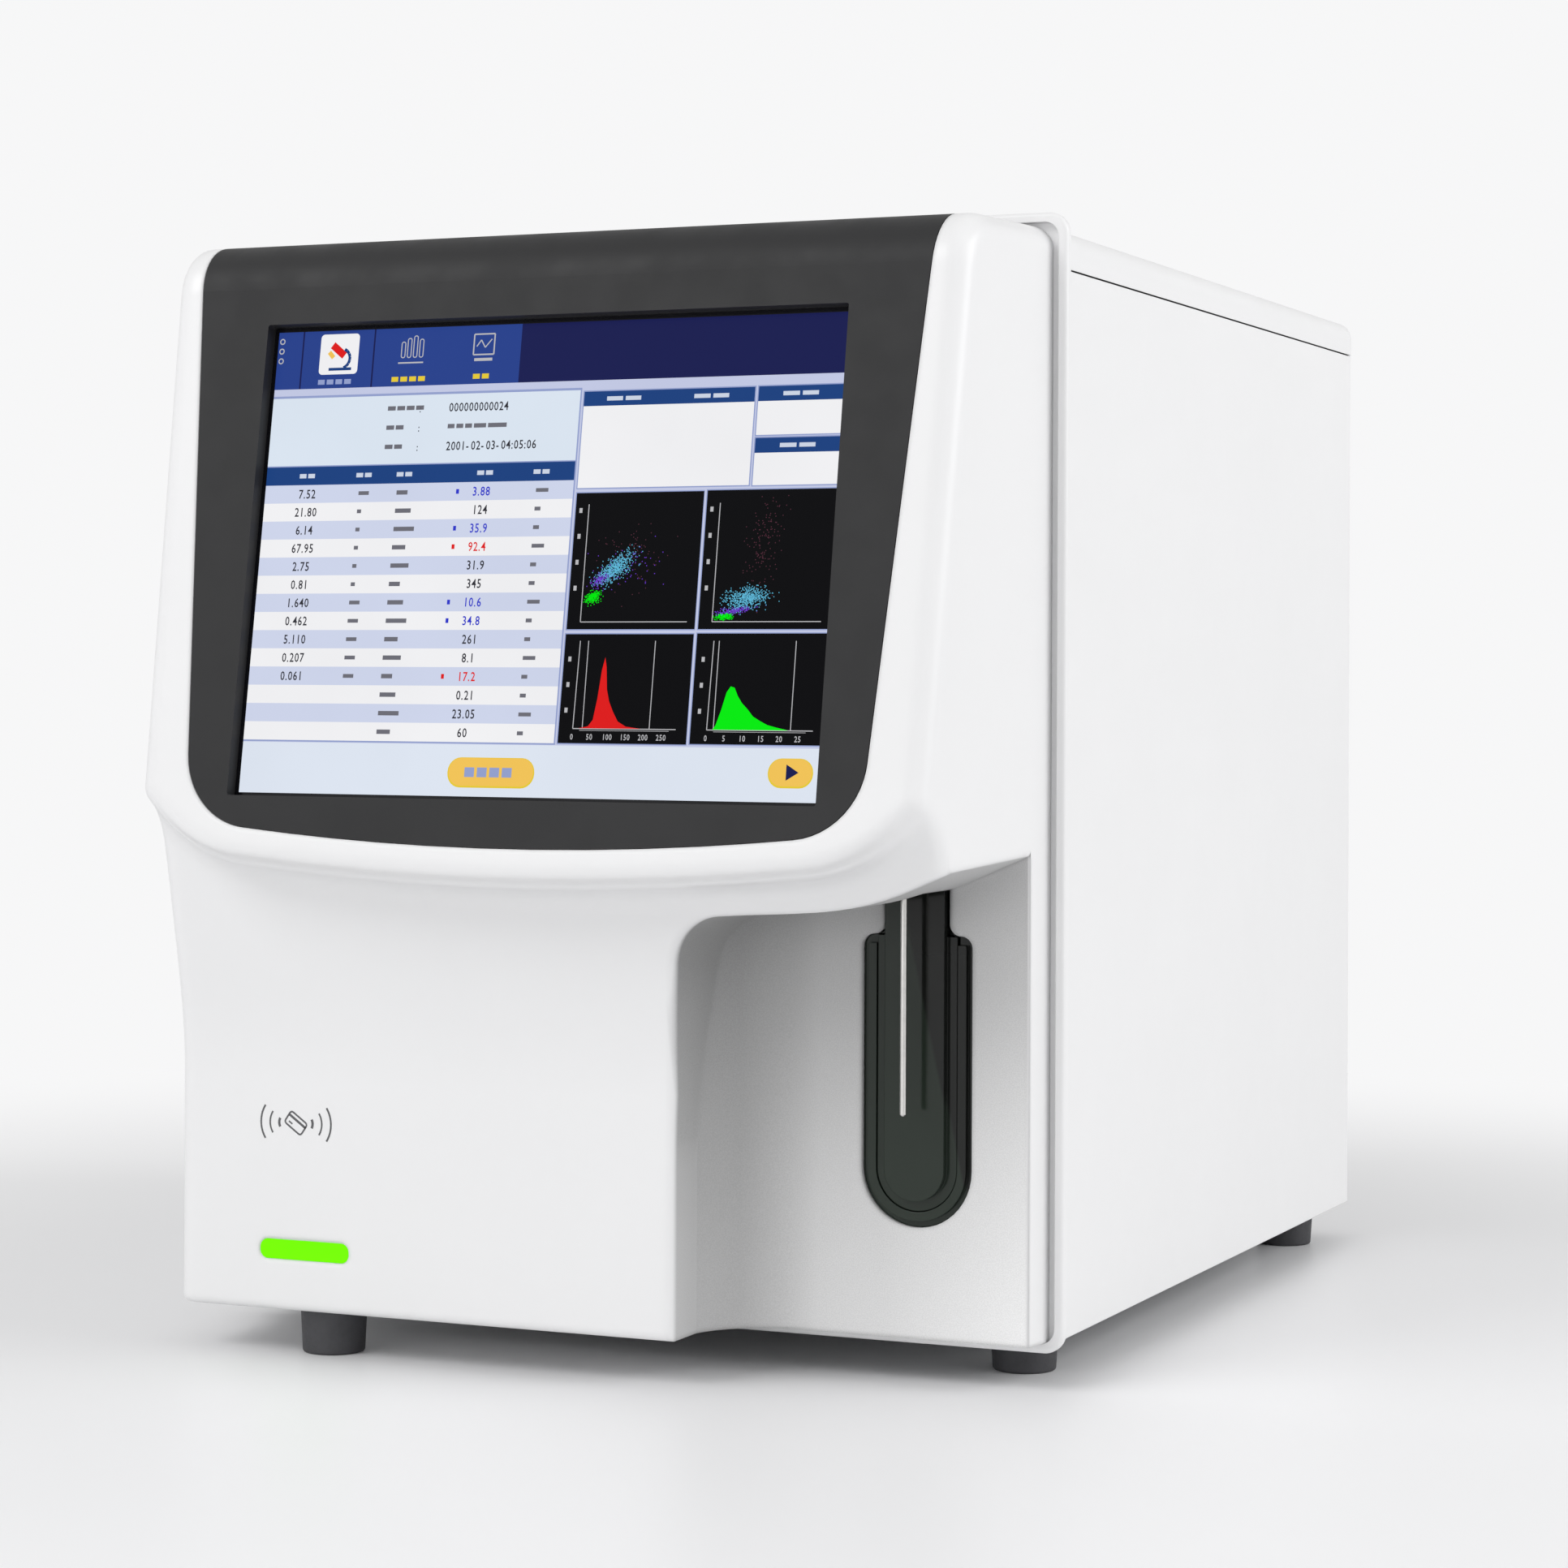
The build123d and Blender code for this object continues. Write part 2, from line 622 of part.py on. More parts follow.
def key_surround():
    """The stepped black frame that fills the slot and guides the key."""
    wall_back = -BAY_BACK + WALL
    front = -BAY_BACK + SURROUND_DROP
    body = prism_y(slot_outline(FIT / 2), front, wall_back)
    trim = prism_y(grown(slot_outline(FIT / 2), -2.0), -BAY_BACK, wall_back)
    edge = body + (trim & span(0, FAR, -FAR, 0, 0, SLOT_SHOULDER - 3))
    low = SLOT_BOTTOM + (SLOT_W - KEY_BASE_W) / 2 - KEY_GAP
    flange = oblong(SLOT_W + 8, SLOT_BOTTOM - 4, NECK_TOP - 2, True)
    solid = edge + prism_y(flange, wall_back, wall_back + KEY_FLANGE)
    key_way = prism_y(oblong(KEY_BASE_W + 2 * KEY_GAP, low, SLOT_SHOULDER, True), -FAR, 20)
    face_way = prism_y(oblong(KEY_FACE_W + 2 * KEY_GAP, low + 4, NECK_TOP + 5, True), -FAR, 20)
    return solid - key_way - face_way


def aspirate_key():
    """The key behind the probe: a raised face on a wider base, held by a rear lip."""
    wall_back = -BAY_BACK + WALL
    back = wall_back + KEY_FLANGE
    low = SLOT_BOTTOM + (SLOT_W - KEY_BASE_W) / 2
    face_low = SLOT_BOTTOM + (SLOT_W - KEY_FACE_W) / 2
    top = SLOT_SHOULDER - KEY_GAP
    base = prism_y(oblong(KEY_BASE_W, low, top, True), -BAY_BACK + KEY_BASE_DROP, back + 1)
    face = prism_y(oblong(KEY_FACE_W, face_low, KEY_TOP, True), -BAY_BACK - KEY_PROUD, back + 1)
    lip = prism_y(oblong(KEY_BASE_W + 5, low - 2.5, top, True), back + 0.3, back + 2)
    return base + face + lip


def key_switch():
    """The microswitches behind the key, on a board between two arms."""
    y = -BAY_BACK + WALL + KEY_FLANGE + 2
    x = SLOT_X
    solid = span(x - 9, x + 9, y + 9, y + 9 + BOARD_T, 72, 142)
    for z in (84.0, 130.0):
        solid = solid + span(x - 6, x + 6, y + KEY_TRAVEL + 0.5, y + 9, z - 5, z + 5)
        solid = solid + span(x - 1.5, x + 1.5, y + KEY_TRAVEL + 0.3, y + KEY_TRAVEL + 0.5, z - 1.5, z + 1.5)
    for side in (-1, 1):
        arm_y = -BAY_BACK + WALL + KEY_FLANGE
        solid = solid + span(x + side * 9, x + side * 22, y + 9, y + 9 + BOARD_T, 104, 112)
        solid = solid + span(x + side * 20, x + side * 22, arm_y, y + 9, 104, 112)
    return solid


def base_tray():
    """The folded tray under the case, with turned-up edges and screw holes."""
    half = INSIDE - 0.2
    front = RIM_T
    back = REAR_Y - SHEET - 0.2
    solid = span(-half, half, front, back, CASE_BOTTOM, FLOOR_Z)
    for side in (-1, 1):
        inner = side * (half - TRAY_T)
        solid = solid + span(side * half, inner, RIM_T + COLLAR_D + 1, back, CASE_BOTTOM, CASE_BOTTOM + 14)
    solid = solid + span(-half, half, back - TRAY_T, back, CASE_BOTTOM, CASE_BOTTOM + 14)
    for x, z in rear_screw_places():
        if z < CASE_BOTTOM + 14:
            solid = solid - rod(x, back - 5, z, SCREW_SHANK_R + 0.02, 10, Axis.Y)
    for name, place in FOOT_PLACES.items():
        if name != "foot_front_left":
            solid = solid - rod(place[0], place[1], 0, FOOT_SCREW_R + 0.3, 40)
    vent = SlotOverall(30, 3)
    for i in range(8):
        spot = Pos(60, 120 + i * 8) * vent
        solid = solid - prism_z(spot, 0, 30)
    return solid


def foot(name):
    """A rubber foot, slightly tapered, with a ring at its top and a screw bore."""
    x, y = FOOT_PLACES[name]
    top = HOUSING_BOTTOM + WALL if name == "foot_front_left" else CASE_BOTTOM
    body = Solid.make_cone(FOOT_R - FOOT_TAPER, FOOT_R, top - 2.0)
    body = Pos(x, y, 0) * body
    body = body + rod(x, y, top - 2.0, FOOT_R - 1.0, 2.0)
    rim = body.faces().sort_by(Axis.Z)[0].edges()
    body = fillet(rim, 1.0)
    body = body - rod(x, y, -1, FOOT_SCREW_HEAD_R + 0.4, 6.0)
    return body - rod(x, y, 0, FOOT_SCREW_R + 0.02, 40)


def foot_screws():
    """The four screws that hold the feet, with their nuts above the sheet."""
    group = []
    for name, (x, y) in FOOT_PLACES.items():
        sheet_top = HOUSING_BOTTOM + WALL + TRAY_T if name == "foot_front_left" else FLOOR_Z
        screw = rod(x, y, 2.5, FOOT_SCREW_HEAD_R, 2.5)
        screw = screw + rod(x, y, 4.9, FOOT_SCREW_R, sheet_top - 0.9)
        nut = prism_z(Pos(x, y) * RegularPolygon(4.0, 6), sheet_top, sheet_top + 3.2)
        group.append(screw + nut)
    return group


def top_cover():
    """The folded top cover, open at the front, with short sides down to the seam."""
    bar = span(-CASE_HALF, CASE_HALF, RIM_T, REAR_Y, SEAM_Z, CASE_TOP)
    edges = bar.edges().filter_by(Axis.Y).group_by(Axis.Z)[-1]
    bar = fillet(edges, COVER_R)
    half = CASE_HALF - SHEET
    core = span(-half, half, RIM_T - 5, REAR_Y + 5, SEAM_Z - 5, CASE_TOP - SHEET)
    core_edges = core.edges().filter_by(Axis.Y).group_by(Axis.Z)[-1]
    core = fillet(core_edges, COVER_R - SHEET)
    return bar - core


def side_panel(side):
    """A side panel with a joggled top edge behind the cover and a folded foot."""
    x1 = side * CASE_HALF
    x0 = side * (CASE_HALF - SHEET)
    panel = span(x0, x1, RIM_T, REAR_Y, CASE_BOTTOM, SEAM_Z - SEAM_GAP)
    back_edges = panel.edges().filter_by(Axis.Z).group_by(Axis.Y)[-1].sort_by(Axis.X)
    outer_edge = back_edges[-1] if side > 0 else back_edges[0]
    panel = fillet(outer_edge, SHEET * 0.8)
    x2 = side * (CASE_HALF - SHEET - 0.1)
    x3 = side * (CASE_HALF - 2 * SHEET - 0.1)
    joggle = span(x2, x3, RIM_T + COLLAR_D + 2, REAR_Y - 6, SEAM_Z - 9, SEAM_Z + 5)
    return panel + joggle + span(x2 + side * 0.2, x3, RIM_T + COLLAR_D + 2, REAR_Y - 6, SEAM_Z - 9, SEAM_Z - 3)


def rear_panel():
    """The rear sheet, with openings for the fan, sockets, inlet and fittings."""
    half = INSIDE - 0.2
    y0 = REAR_Y - SHEET
    low = CASE_BOTTOM + 0.2
    solid = span(-half, half, y0, REAR_Y, low, CASE_TOP - SHEET - 0.2)
    top_corners = solid.edges().filter_by(Axis.Y).group_by(Axis.Z)[-1]
    solid = fillet(top_corners, COVER_R - SHEET)
    solid = solid - rod(FAN_X, y0 - 5, FAN_Z, FAN / 2 - 2.5, 20, Axis.Y)
    for x, z in fan_screw_places():
        solid = solid - rod(x, y0 - 5, z, SCREW_HOLE_R, 20, Axis.Y)
    w, h = INLET_W / 2, INLET_H / 2
    solid = solid - span(INLET_X - w, INLET_X + w, y0 - 5, REAR_Y + 5, INLET_Z - h, INLET_Z + h)
    w, h = SWITCH_W / 2, SWITCH_H / 2
    solid = solid - span(SWITCH_X - w, SWITCH_X + w, y0 - 5, REAR_Y + 5, INLET_Z - h, INLET_Z + h)
    for x in PORT_X:
        solid = solid - rod(x, y0 - 5, PORT_Z, PORT_HOLE_R, 20, Axis.Y)
    for x, z, w, h in SOCKETS:
        solid = solid - span(x - w / 2, x + w / 2, y0 - 5, REAR_Y + 5, z - h / 2, z + h / 2)
    solid = solid - rod(EARTH_X, y0 - 5, INLET_Z, 2.1, 20, Axis.Y)
    for i in range(9):
        slot = Pos(VENT_X, VENT_Z + i * 7) * SlotOverall(56, 3)
        solid = solid - prism_y(slot, y0 - 5, REAR_Y + 5)
    for x, z in rear_screw_places():
        solid = solid - rod(x, y0 - 5, z, SCREW_HOLE_R, 20, Axis.Y)
    return solid


def fan_screw_places():
    """The fan's four screw holes."""
    pitch = FAN_PITCH / 2
    return [(FAN_X + i * pitch, FAN_Z + k * pitch) for i in (-1, 1) for k in (-1, 1)]


def rear_screw_places():
    """The screws round the edge of the rear panel."""
    x = INSIDE - 9
    places = [(side * x, z) for side in (-1, 1) for z in (40.0, 200.0, 352.0)]
    return places + [(-60.0, CASE_BOTTOM + 8), (60.0, CASE_BOTTOM + 8)]


def pan_screw(x, z, seat):
    """A cross-slotted pan-head screw whose head sits on y = seat."""
    head = rod(x, seat, z, 3.2, 2.0, Axis.Y)
    head = fillet(head.edges().sort_by(Axis.Y)[-1], 0.9)
    shank = rod(x, REAR_Y - 6, z, SCREW_SHANK_R, seat - REAR_Y + 6.5, Axis.Y)
    slot = span(x - 0.4, x + 0.4, seat + 1.2, seat + 3, z - 2.2, z + 2.2)
    cross = span(x - 2.2, x + 2.2, seat + 1.2, seat + 3, z - 0.4, z + 0.4)
    return head + shank - slot - cross


def chassis_screws():
    """The feet's screws and nuts, and the pan-head screws on the back."""
    group = foot_screws()
    for x, z in rear_screw_places():
        group.append(pan_screw(x, z, REAR_Y))
    for x, z in fan_screw_places():
        group.append(pan_screw(x, z, REAR_Y + 2 * GUARD_WIRE_R))
    return group


def mid_wall():
    """The upright sheet between the fluid side and the electronic side."""
    x0, x1 = MID_X, MID_X + MID_T
    back = REAR_Y - 26
    solid = span(x0, x1, 24, back, FLOOR_Z, MID_TOP)
    solid = solid + span(x0, x0 + 16, 24, back, FLOOR_Z, FLOOR_Z + MID_T)
    solid = solid + span(x0, x0 + 14, 24, 24 + MID_T, FLOOR_Z, MID_TOP)
    solid = solid - span(x0 - 5, x0 + 5, 60, 84, 250, 290)
    for y, z in main_board_screws():
        solid = solid + rod(x0 - BOARD_OFF, y, z, 3.0, BOARD_OFF, Axis.X)
    return solid


def main_board_screws():
    """The main board's stud places as depth and height."""
    return [(70.0, 110.0), (290.0, 110.0), (70.0, 290.0), (290.0, 290.0)]


def main_board():
    """The main circuit board with its larger parts."""
    x = MID_X - BOARD_OFF
    solid = span(x - BOARD_T, x, 60, 300, 100, 300)
    parts = ((90, 130, 240, 280, 4), (150, 180, 200, 230, 3), (200, 260, 130, 150, 10), (80, 120, 120, 140, 8),
             (210, 250, 230, 270, 12), (140, 150, 110, 180, 9))
    for y0, y1, z0, z1, high in parts:
        solid = solid + span(x - BOARD_T - high, x - BOARD_T, y0, y1, z0, z1)
    for i in range(5):
        solid = solid + rod(x - BOARD_T - 12, 100 + i * 22, 180, 5.0, 12, Axis.X)
    return solid


def power_supply():
    """The caged power supply on the tray."""
    x0 = 6.8 - INSIDE
    x1 = x0 + 96
    y1 = REAR_Y - 41
    y0 = y1 - 180
    solid = span(x0, x1, y0, y1, FLOOR_Z, FLOOR_Z + 40)
    inner = span(x0 + 1.2, x1 - 1.2, y0 - 1, y1 - 20, FLOOR_Z + 1.2, FLOOR_Z + 38.8)
    core = span(x0 + 6, x1 - 6, y0 + 8, y1 - 20, FLOOR_Z + 1.2, FLOOR_Z + 26)
    holes = solid - inner
    for i in range(10):
        slot = Pos((x0 + x1) / 2, y0 + 20 + i * 14) * SlotOverall(60, 4)
        holes = holes - prism_z(slot, FLOOR_Z + 30, FLOOR_Z + 60)
    return holes + core


def lift_bracket():
    """The folded bracket that carries the probe lift, on two legs to the rim."""
    x0, x1 = SLOT_X - 30, SLOT_X + 30
    y0, y1 = LIFT_PLATE_Y, LIFT_PLATE_Y + LIFT_PLATE_T
    plate = span(x0, x1, y0, y1, LIFT_LOW_Z - 60, LIFT_TOP_Z)
    low = span(x0, x1, ROD_Y - 8, y1, LIFT_LOW_Z, LIFT_LOW_Z + LIFT_PLATE_T)
    top = span(x0, x1, ROD_Y - 8, y1, LIFT_TOP_Z - LIFT_PLATE_T, LIFT_TOP_Z)
    solid = plate + low + top
    ear_x = INSIDE - COLLAR_T - 0.4
    for z in (LIFT_LOW_Z - 50, LIFT_TOP_Z - 30):
        solid = solid + span(x1 - 1, ear_x, y0, y1, z, z + 24)
        solid = solid + span(ear_x - LIFT_PLATE_T, ear_x, RIM_T + 1, y1, z, z + 24)
    for side in (-1, 1):
        solid = solid - rod(SLOT_X + side * ROD_SPREAD, ROD_Y, LIFT_LOW_Z - 5, ROD_R, LIFT_TOP_Z)
    solid = solid - rod(SLOT_X, y0 - 5, DRIVE_Z, 11.2, 20, Axis.Y)
    solid = solid - rod(SLOT_X, y0 - 5, IDLER_Z, PIN_R, 20, Axis.Y)
    return solid


def guide_rods():
    """Two ground rods, seated in the bracket's flanges."""
    group = []
    for side in (-1, 1):
        x = SLOT_X + side * ROD_SPREAD
        group.append(rod(x, ROD_Y, LIFT_LOW_Z, ROD_R - 0.01, LIFT_TOP_Z - LIFT_LOW_Z))
    return group


def lift_motor():
    """The stepper motor behind the lift plate, with its register and shaft bore."""
    y = LIFT_PLATE_Y + LIFT_PLATE_T
    half = MOTOR / 2
    body = span(SLOT_X - half, SLOT_X + half, y, y + MOTOR_L, DRIVE_Z - half, DRIVE_Z + half)
    body = chamfer(body.edges().filter_by(Axis.Y), 4.0)
    register = rod(SLOT_X, y - 2.0, DRIVE_Z, 11.0, 2.5, Axis.Y)
    return body + register - rod(SLOT_X, y - 3, DRIVE_Z, PIN_R + RUN_FIT, 17, Axis.Y)


def pulley(z):
    """A toothed pulley with flanges, its face ahead of the lift plate."""
    y0 = LIFT_PLATE_Y - 4 - BELT_W
    body = rod(SLOT_X, y0, z, PULLEY_R, BELT_W, Axis.Y)
    for y in (y0 - 1.0, y0 + BELT_W):
        body = body + rod(SLOT_X, y, z, PULLEY_R + BELT_T, 1.0, Axis.Y)
    for i in range(PULLEY_TEETH):
        turn = math.radians(360 / PULLEY_TEETH * i)
        x = SLOT_X + PULLEY_R * math.sin(turn)
        high = z + PULLEY_R * math.cos(turn)
        body = body - rod(x, y0 + 0.2, high, 0.5, BELT_W - 0.4, Axis.Y)
    return body


def drive_pulley():
    """The driven pulley on the motor's shaft."""
    y0 = LIFT_PLATE_Y - 4 - BELT_W
    shaft_end = LIFT_PLATE_Y + LIFT_PLATE_T + 12
    return pulley(DRIVE_Z) + rod(SLOT_X, y0 - 1, DRIVE_Z, PIN_R, shaft_end - y0 + 1, Axis.Y)


def idler_pulley():
    """The idler at the top of the belt, bored for its pin."""
    y0 = LIFT_PLATE_Y - 4 - BELT_W
    return pulley(IDLER_Z) - rod(SLOT_X, y0 - 5, IDLER_Z, PIN_R + RUN_FIT, 30, Axis.Y)


def idler_pin():
    """The idler's pin, riveted in the lift plate, with a head in front."""
    y0 = LIFT_PLATE_Y - 4 - BELT_W
    pin = rod(SLOT_X, y0 - 1.5, IDLER_Z, PIN_R, LIFT_PLATE_Y + LIFT_PLATE_T - y0 + 1.5, Axis.Y)
    collar = rod(SLOT_X, LIFT_PLATE_Y - 2.7, IDLER_Z, PIN_R + 2, 2.7, Axis.Y)
    return pin + collar + rod(SLOT_X, y0 - 2.8, IDLER_Z, PIN_R + 2, 1.5, Axis.Y)


def lift_belt():
    """The closed belt round both pulleys."""
    y0 = LIFT_PLATE_Y - 4 - BELT_W + 0.3
    inner = PULLEY_R + BELT_GAP
    outer = inner + BELT_T
    middle = Pos(SLOT_X, (DRIVE_Z + IDLER_Z) / 2)
    run = IDLER_Z - DRIVE_Z
    loop = Rot(0, 0, 90) * SlotCenterToCenter(run, 2 * outer) - Rot(0, 0, 90) * SlotCenterToCenter(run, 2 * inner)
    return prism_y(middle * loop, y0, y0 + BELT_W - 0.6)


def probe_carriage():
    """The carriage on the guide rods, with an arm to the probe and a belt clamp."""
    z0, z1 = CARRIAGE_Z, CARRIAGE_Z + CARRIAGE_H
    x = SLOT_X
    block = span(x - 25, x + 25, ROD_Y - 6, ROD_Y + 6, z0, z1)
    arm = span(x - 5, x + 5, -PROBE_Y - 5, ROD_Y, z0, z0 + 10)
    arm = fillet(arm.edges().filter_by(Axis.Z).group_by(Axis.Y)[0], 3.0)
    solid = block + arm
    run_x = x - PULLEY_R - BELT_GAP - BELT_T / 2
    clamp_y = LIFT_PLATE_Y - 4
    solid = solid + span(run_x - 4, run_x + 4, ROD_Y, clamp_y, z0, z1)
    slit = BELT_T / 2 + BELT_GAP
    solid = solid - span(run_x - slit, run_x + slit, clamp_y - BELT_W - 0.5, clamp_y + 1, z0 - 1, z1 + 1)
    for side in (-1, 1):
        solid = solid - rod(x + side * ROD_SPREAD, ROD_Y, z0 - 1, ROD_R + RUN_FIT, CARRIAGE_H + 2)
    return solid - rod(x, -PROBE_Y, z0 - 1, PROBE_R, CARRIAGE_H + 2)


def probe_needle():
    """The steel sampling needle with a bevelled tip and a side hole's bore."""
    top = CARRIAGE_Z + 16
    needle = rod(SLOT_X, -PROBE_Y, PROBE_TIP, PROBE_R - 0.01, top - PROBE_TIP)
    needle = chamfer(needle.edges().sort_by(Axis.Z)[0], 0.6)
    return needle - rod(SLOT_X, -PROBE_Y, PROBE_TIP - 1, PROBE_BORE_R, top)


def rinse_block():
    """The rinse block that the needle passes through, on a stem to the bracket."""
    z0, z1 = RINSE_Z, RINSE_Z + RINSE_H
    block = span(SLOT_X - 8, SLOT_X + 8, -PROBE_Y - 8, -PROBE_Y + 8, z0, z1)
    block = fillet(block.edges().filter_by(Axis.Z), 3.0)
    stem_z = LIFT_LOW_Z + LIFT_PLATE_T
    stem = span(SLOT_X - 6, SLOT_X + 6, -PROBE_Y, ROD_Y + 6, stem_z, z1)
    block = block + stem + rod(SLOT_X + 6, -PROBE_Y, z0 + 10, 1.8, 12, Axis.X)
    return block - rod(SLOT_X, -PROBE_Y, z0 - 1, PROBE_R + RUN_FIT, RINSE_H + 2)


def syringe_bracket():
    """The shelf bracket that holds the syringes' blocks and motors."""
    x0 = MID_X + MID_T
    y0, y1 = SYRINGE_Y[0] - 24, SYRINGE_Y[-1] + 24
    solid = span(x0, x0 + 2, y0, y1, MOTOR_SHELF_Z - 40, BARREL_Z + BARREL_H + 20)
    for z in (MOTOR_SHELF_Z, BARREL_Z - 3, BARREL_Z + BARREL_H):
        solid = solid + span(x0, SYRINGE_X + 17, y0, y1, z, z + 3)
    for y in SYRINGE_Y:
        solid = solid - rod(SYRINGE_X, y, MOTOR_SHELF_Z - 5, 6.2, 20)
        solid = solid - rod(SYRINGE_X, y, BARREL_Z - 20, BORE_R + 0.3, 22)
        solid = solid - rod(SYRINGE_X, y, BARREL_Z + BARREL_H - 5, 2.0, 20)
    return solid


def syringe_barrels():
    """Two glass barrels, open below."""
    group = []
    for y in SYRINGE_Y:
        barrel = rod(SYRINGE_X, y, BARREL_Z, BARREL_R, BARREL_H)
        barrel = barrel - rod(SYRINGE_X, y, BARREL_Z - 1, BORE_R, BARREL_H - 3)
        group.append(barrel)
    return group


def syringe_fittings():
    """The hose fittings on top of the syringes."""
    group = []
    z = BARREL_Z + BARREL_H
    for y in SYRINGE_Y:
        stem = rod(SYRINGE_X, y, z, 1.9, 9)
        group.append(stem + rod(SYRINGE_X, y, z + 3, 4.0, 5))
    return group


def syringe_piston(index):
    """A piston with its seal and the actuator's screw, which doesn't turn."""
    y = SYRINGE_Y[index]
    head_z = BARREL_Z + 6
    solid = rod(SYRINGE_X, y, head_z, BORE_R - RUN_FIT, 10)
    solid = solid + rod(SYRINGE_X, y, head_z + 2, BORE_R - RUN_FIT, 2)
    solid = solid + rod(SYRINGE_X, y, MOTOR_SHELF_Z - 66, SCREW_R, head_z - MOTOR_SHELF_Z + 66)
    return solid


def syringe_motors():
    """Two linear actuators under the motor shelf, with hollow rotors."""
    group = []
    for y in SYRINGE_Y:
        body = span(SYRINGE_X - 16, SYRINGE_X + 16, y - 16, y + 16, MOTOR_SHELF_Z - 30, MOTOR_SHELF_Z)
        body = chamfer(body.edges().filter_by(Axis.Z), 4.0)
        body = body + rod(SYRINGE_X, y, MOTOR_SHELF_Z, 6.0, 4)
        group.append(body - rod(SYRINGE_X, y, MOTOR_SHELF_Z - 40, SCREW_R + RUN_FIT, 60))
    return group


def bath_bracket():
    """The folded stand for the counting baths."""
    x0, x1 = BATH_X[0] - 22, BATH_X[-1] + 22
    z = BATH_Z - 3
    solid = span(x0, x1, BATH_Y - 22, BATH_Y + 22, z, z + 1.5)
    for x in (x0, x1 - 1.5):
        solid = solid + span(x, x + 1.5, BATH_Y - 22, BATH_Y + 22, FLOOR_Z, z + 1.5)
        foot_x = x if x == x0 else x - 8
        solid = solid + span(foot_x, foot_x + 9.5, BATH_Y - 22, BATH_Y + 22, FLOOR_Z, FLOOR_Z + 1.5)
    for x in BATH_X:
        solid = solid - rod(x, BATH_Y, z - 5, 5.2, 20)
    return solid


def counting_baths():
    """Two counting baths: open cups with a drain and a side tube."""
    group = []
    for x in BATH_X:
        z = BATH_Z - 1.5
        cup = rod(x, BATH_Y, z, BATH_R, BATH_H)
        cup = cup - rod(x, BATH_Y, z + 10, BATH_R - 3, BATH_H)
        cup = cup + rod(x, BATH_Y, z - 10, 5.0, 10.5) - rod(x, BATH_Y, z - 12, 1.2, 30)
        cup = cup + rod(x, BATH_Y + BATH_R - 1, z + 24, 2.0, 9, Axis.Y)
        group.append(cup)
    return group


def optical_bench():
    """The base of the optical unit on four posts."""
    x0, x1 = MID_X + 50, FLUID_X
    y0, y1 = OPTIC_Y, OPTIC_Y + OPTIC_D
    solid = span(x0, x1, y0, y1, OPTIC_Z, OPTIC_Z + 8)
    for x in (x0 + 6, x1 - 16):
        for y in (y0 + 6, y1 - 6):
            solid = solid + rod(x, y, FLOOR_Z, 4.0, OPTIC_Z - FLOOR_Z)
    return solid


def laser_module():
    """The laser in its finned mount."""
    z = OPTIC_Z + 8
    y = OPTIC_Y
    solid = span(46, 74, y + 6, y + 40, z, z + 28)
    for i in range(5):
        solid = solid - span(40, 80, y + 10 + i * 6, y + 13 + i * 6, z + 18, z + 40)
    return solid + rod(60, y + 40, z + 12, 8.0, 14, Axis.Y)


def flow_cell():
    """The flow cell's block with its inlet and outlet tubes."""
    z = OPTIC_Z + 8
    y = OPTIC_Y + 58
    solid = span(48, 72, y, y + 18, z, z + 26) - rod(60, y - 8, z + 12, 3.0, 40, Axis.Y)
    return solid + rod(60, y + 9, z + 26, 2.0, 14)


def detector_block():
    """The scattered-light detector's housing and board."""
    z = OPTIC_Z + 8
    y = OPTIC_Y + 82
    solid = span(46, 78, y, y + 20, z, z + 30)
    board = span(84, FLUID_X - 6, OPTIC_Y + 14, OPTIC_Y + 100, z, z + 12)
    return solid + board + span(78, 84, y + 4, y + 16, z, z + 10)


def valve_manifold():
    """The manifold that the valves sit on, held up by two feet."""
    solid = span(VALVE_X - 8, FLUID_X, 60, 84, 60, 78)
    for x in (VALVE_X - 4, FLUID_X - 10):
        solid = solid + span(x, x + 6, 62, 82, FLOOR_Z, 60)
    for i in range(VALVES):
        solid = solid + rod(VALVE_X + i * VALVE_PITCH, 46, 69, 2.0, 14.5, Axis.Y)
    return solid


def solenoid_valves():
    """Eight solenoid valves in a row."""
    group = []
    for i in range(VALVES):
        x = VALVE_X + i * VALVE_PITCH
        body = span(x - 6, x + 6, 64, 80, 78, 84) + rod(x, 72, 84, 5.5, 18)
        group.append(body + span(x - 2, x + 2, 70, 74, 102, 105))
    return group


def diaphragm_pumps():
    """The vacuum pump and the waste pump, on the tray."""
    group = []
    for x in (PUMP_X, FLUID_X - 44):
        z = FLOOR_Z
        y = PUMP_Y
        body = rod(x, y, z + 19, 15.0, 44, Axis.Y) + span(x - 14, x + 14, y + 6, y + 38, z, z + 10)
        head = span(x - 18, x + 18, y + 44, y + 70, z, z + 38)
        nozzles = rod(x - 8, y + 57, z + 38, 2.5, 9) + rod(x + 8, y + 57, z + 38, 2.5, 9)
        group.append(body + head + nozzles)
    return group


def vacuum_chamber():
    """The vacuum chamber, a capped bottle on the tray."""
    x = FLUID_X - 30
    y = REAR_Y - 81
    body = rod(x, y, FLOOR_Z, 26, 84) + rod(x, y, FLOOR_Z + 84, 22, 10)
    body = body - rod(x, y, FLOOR_Z + 4, 23, 78)
    for side in (-1, 1):
        body = body + rod(x + side * 9, y, FLOOR_Z + 93, 2.5, 10)
    return body


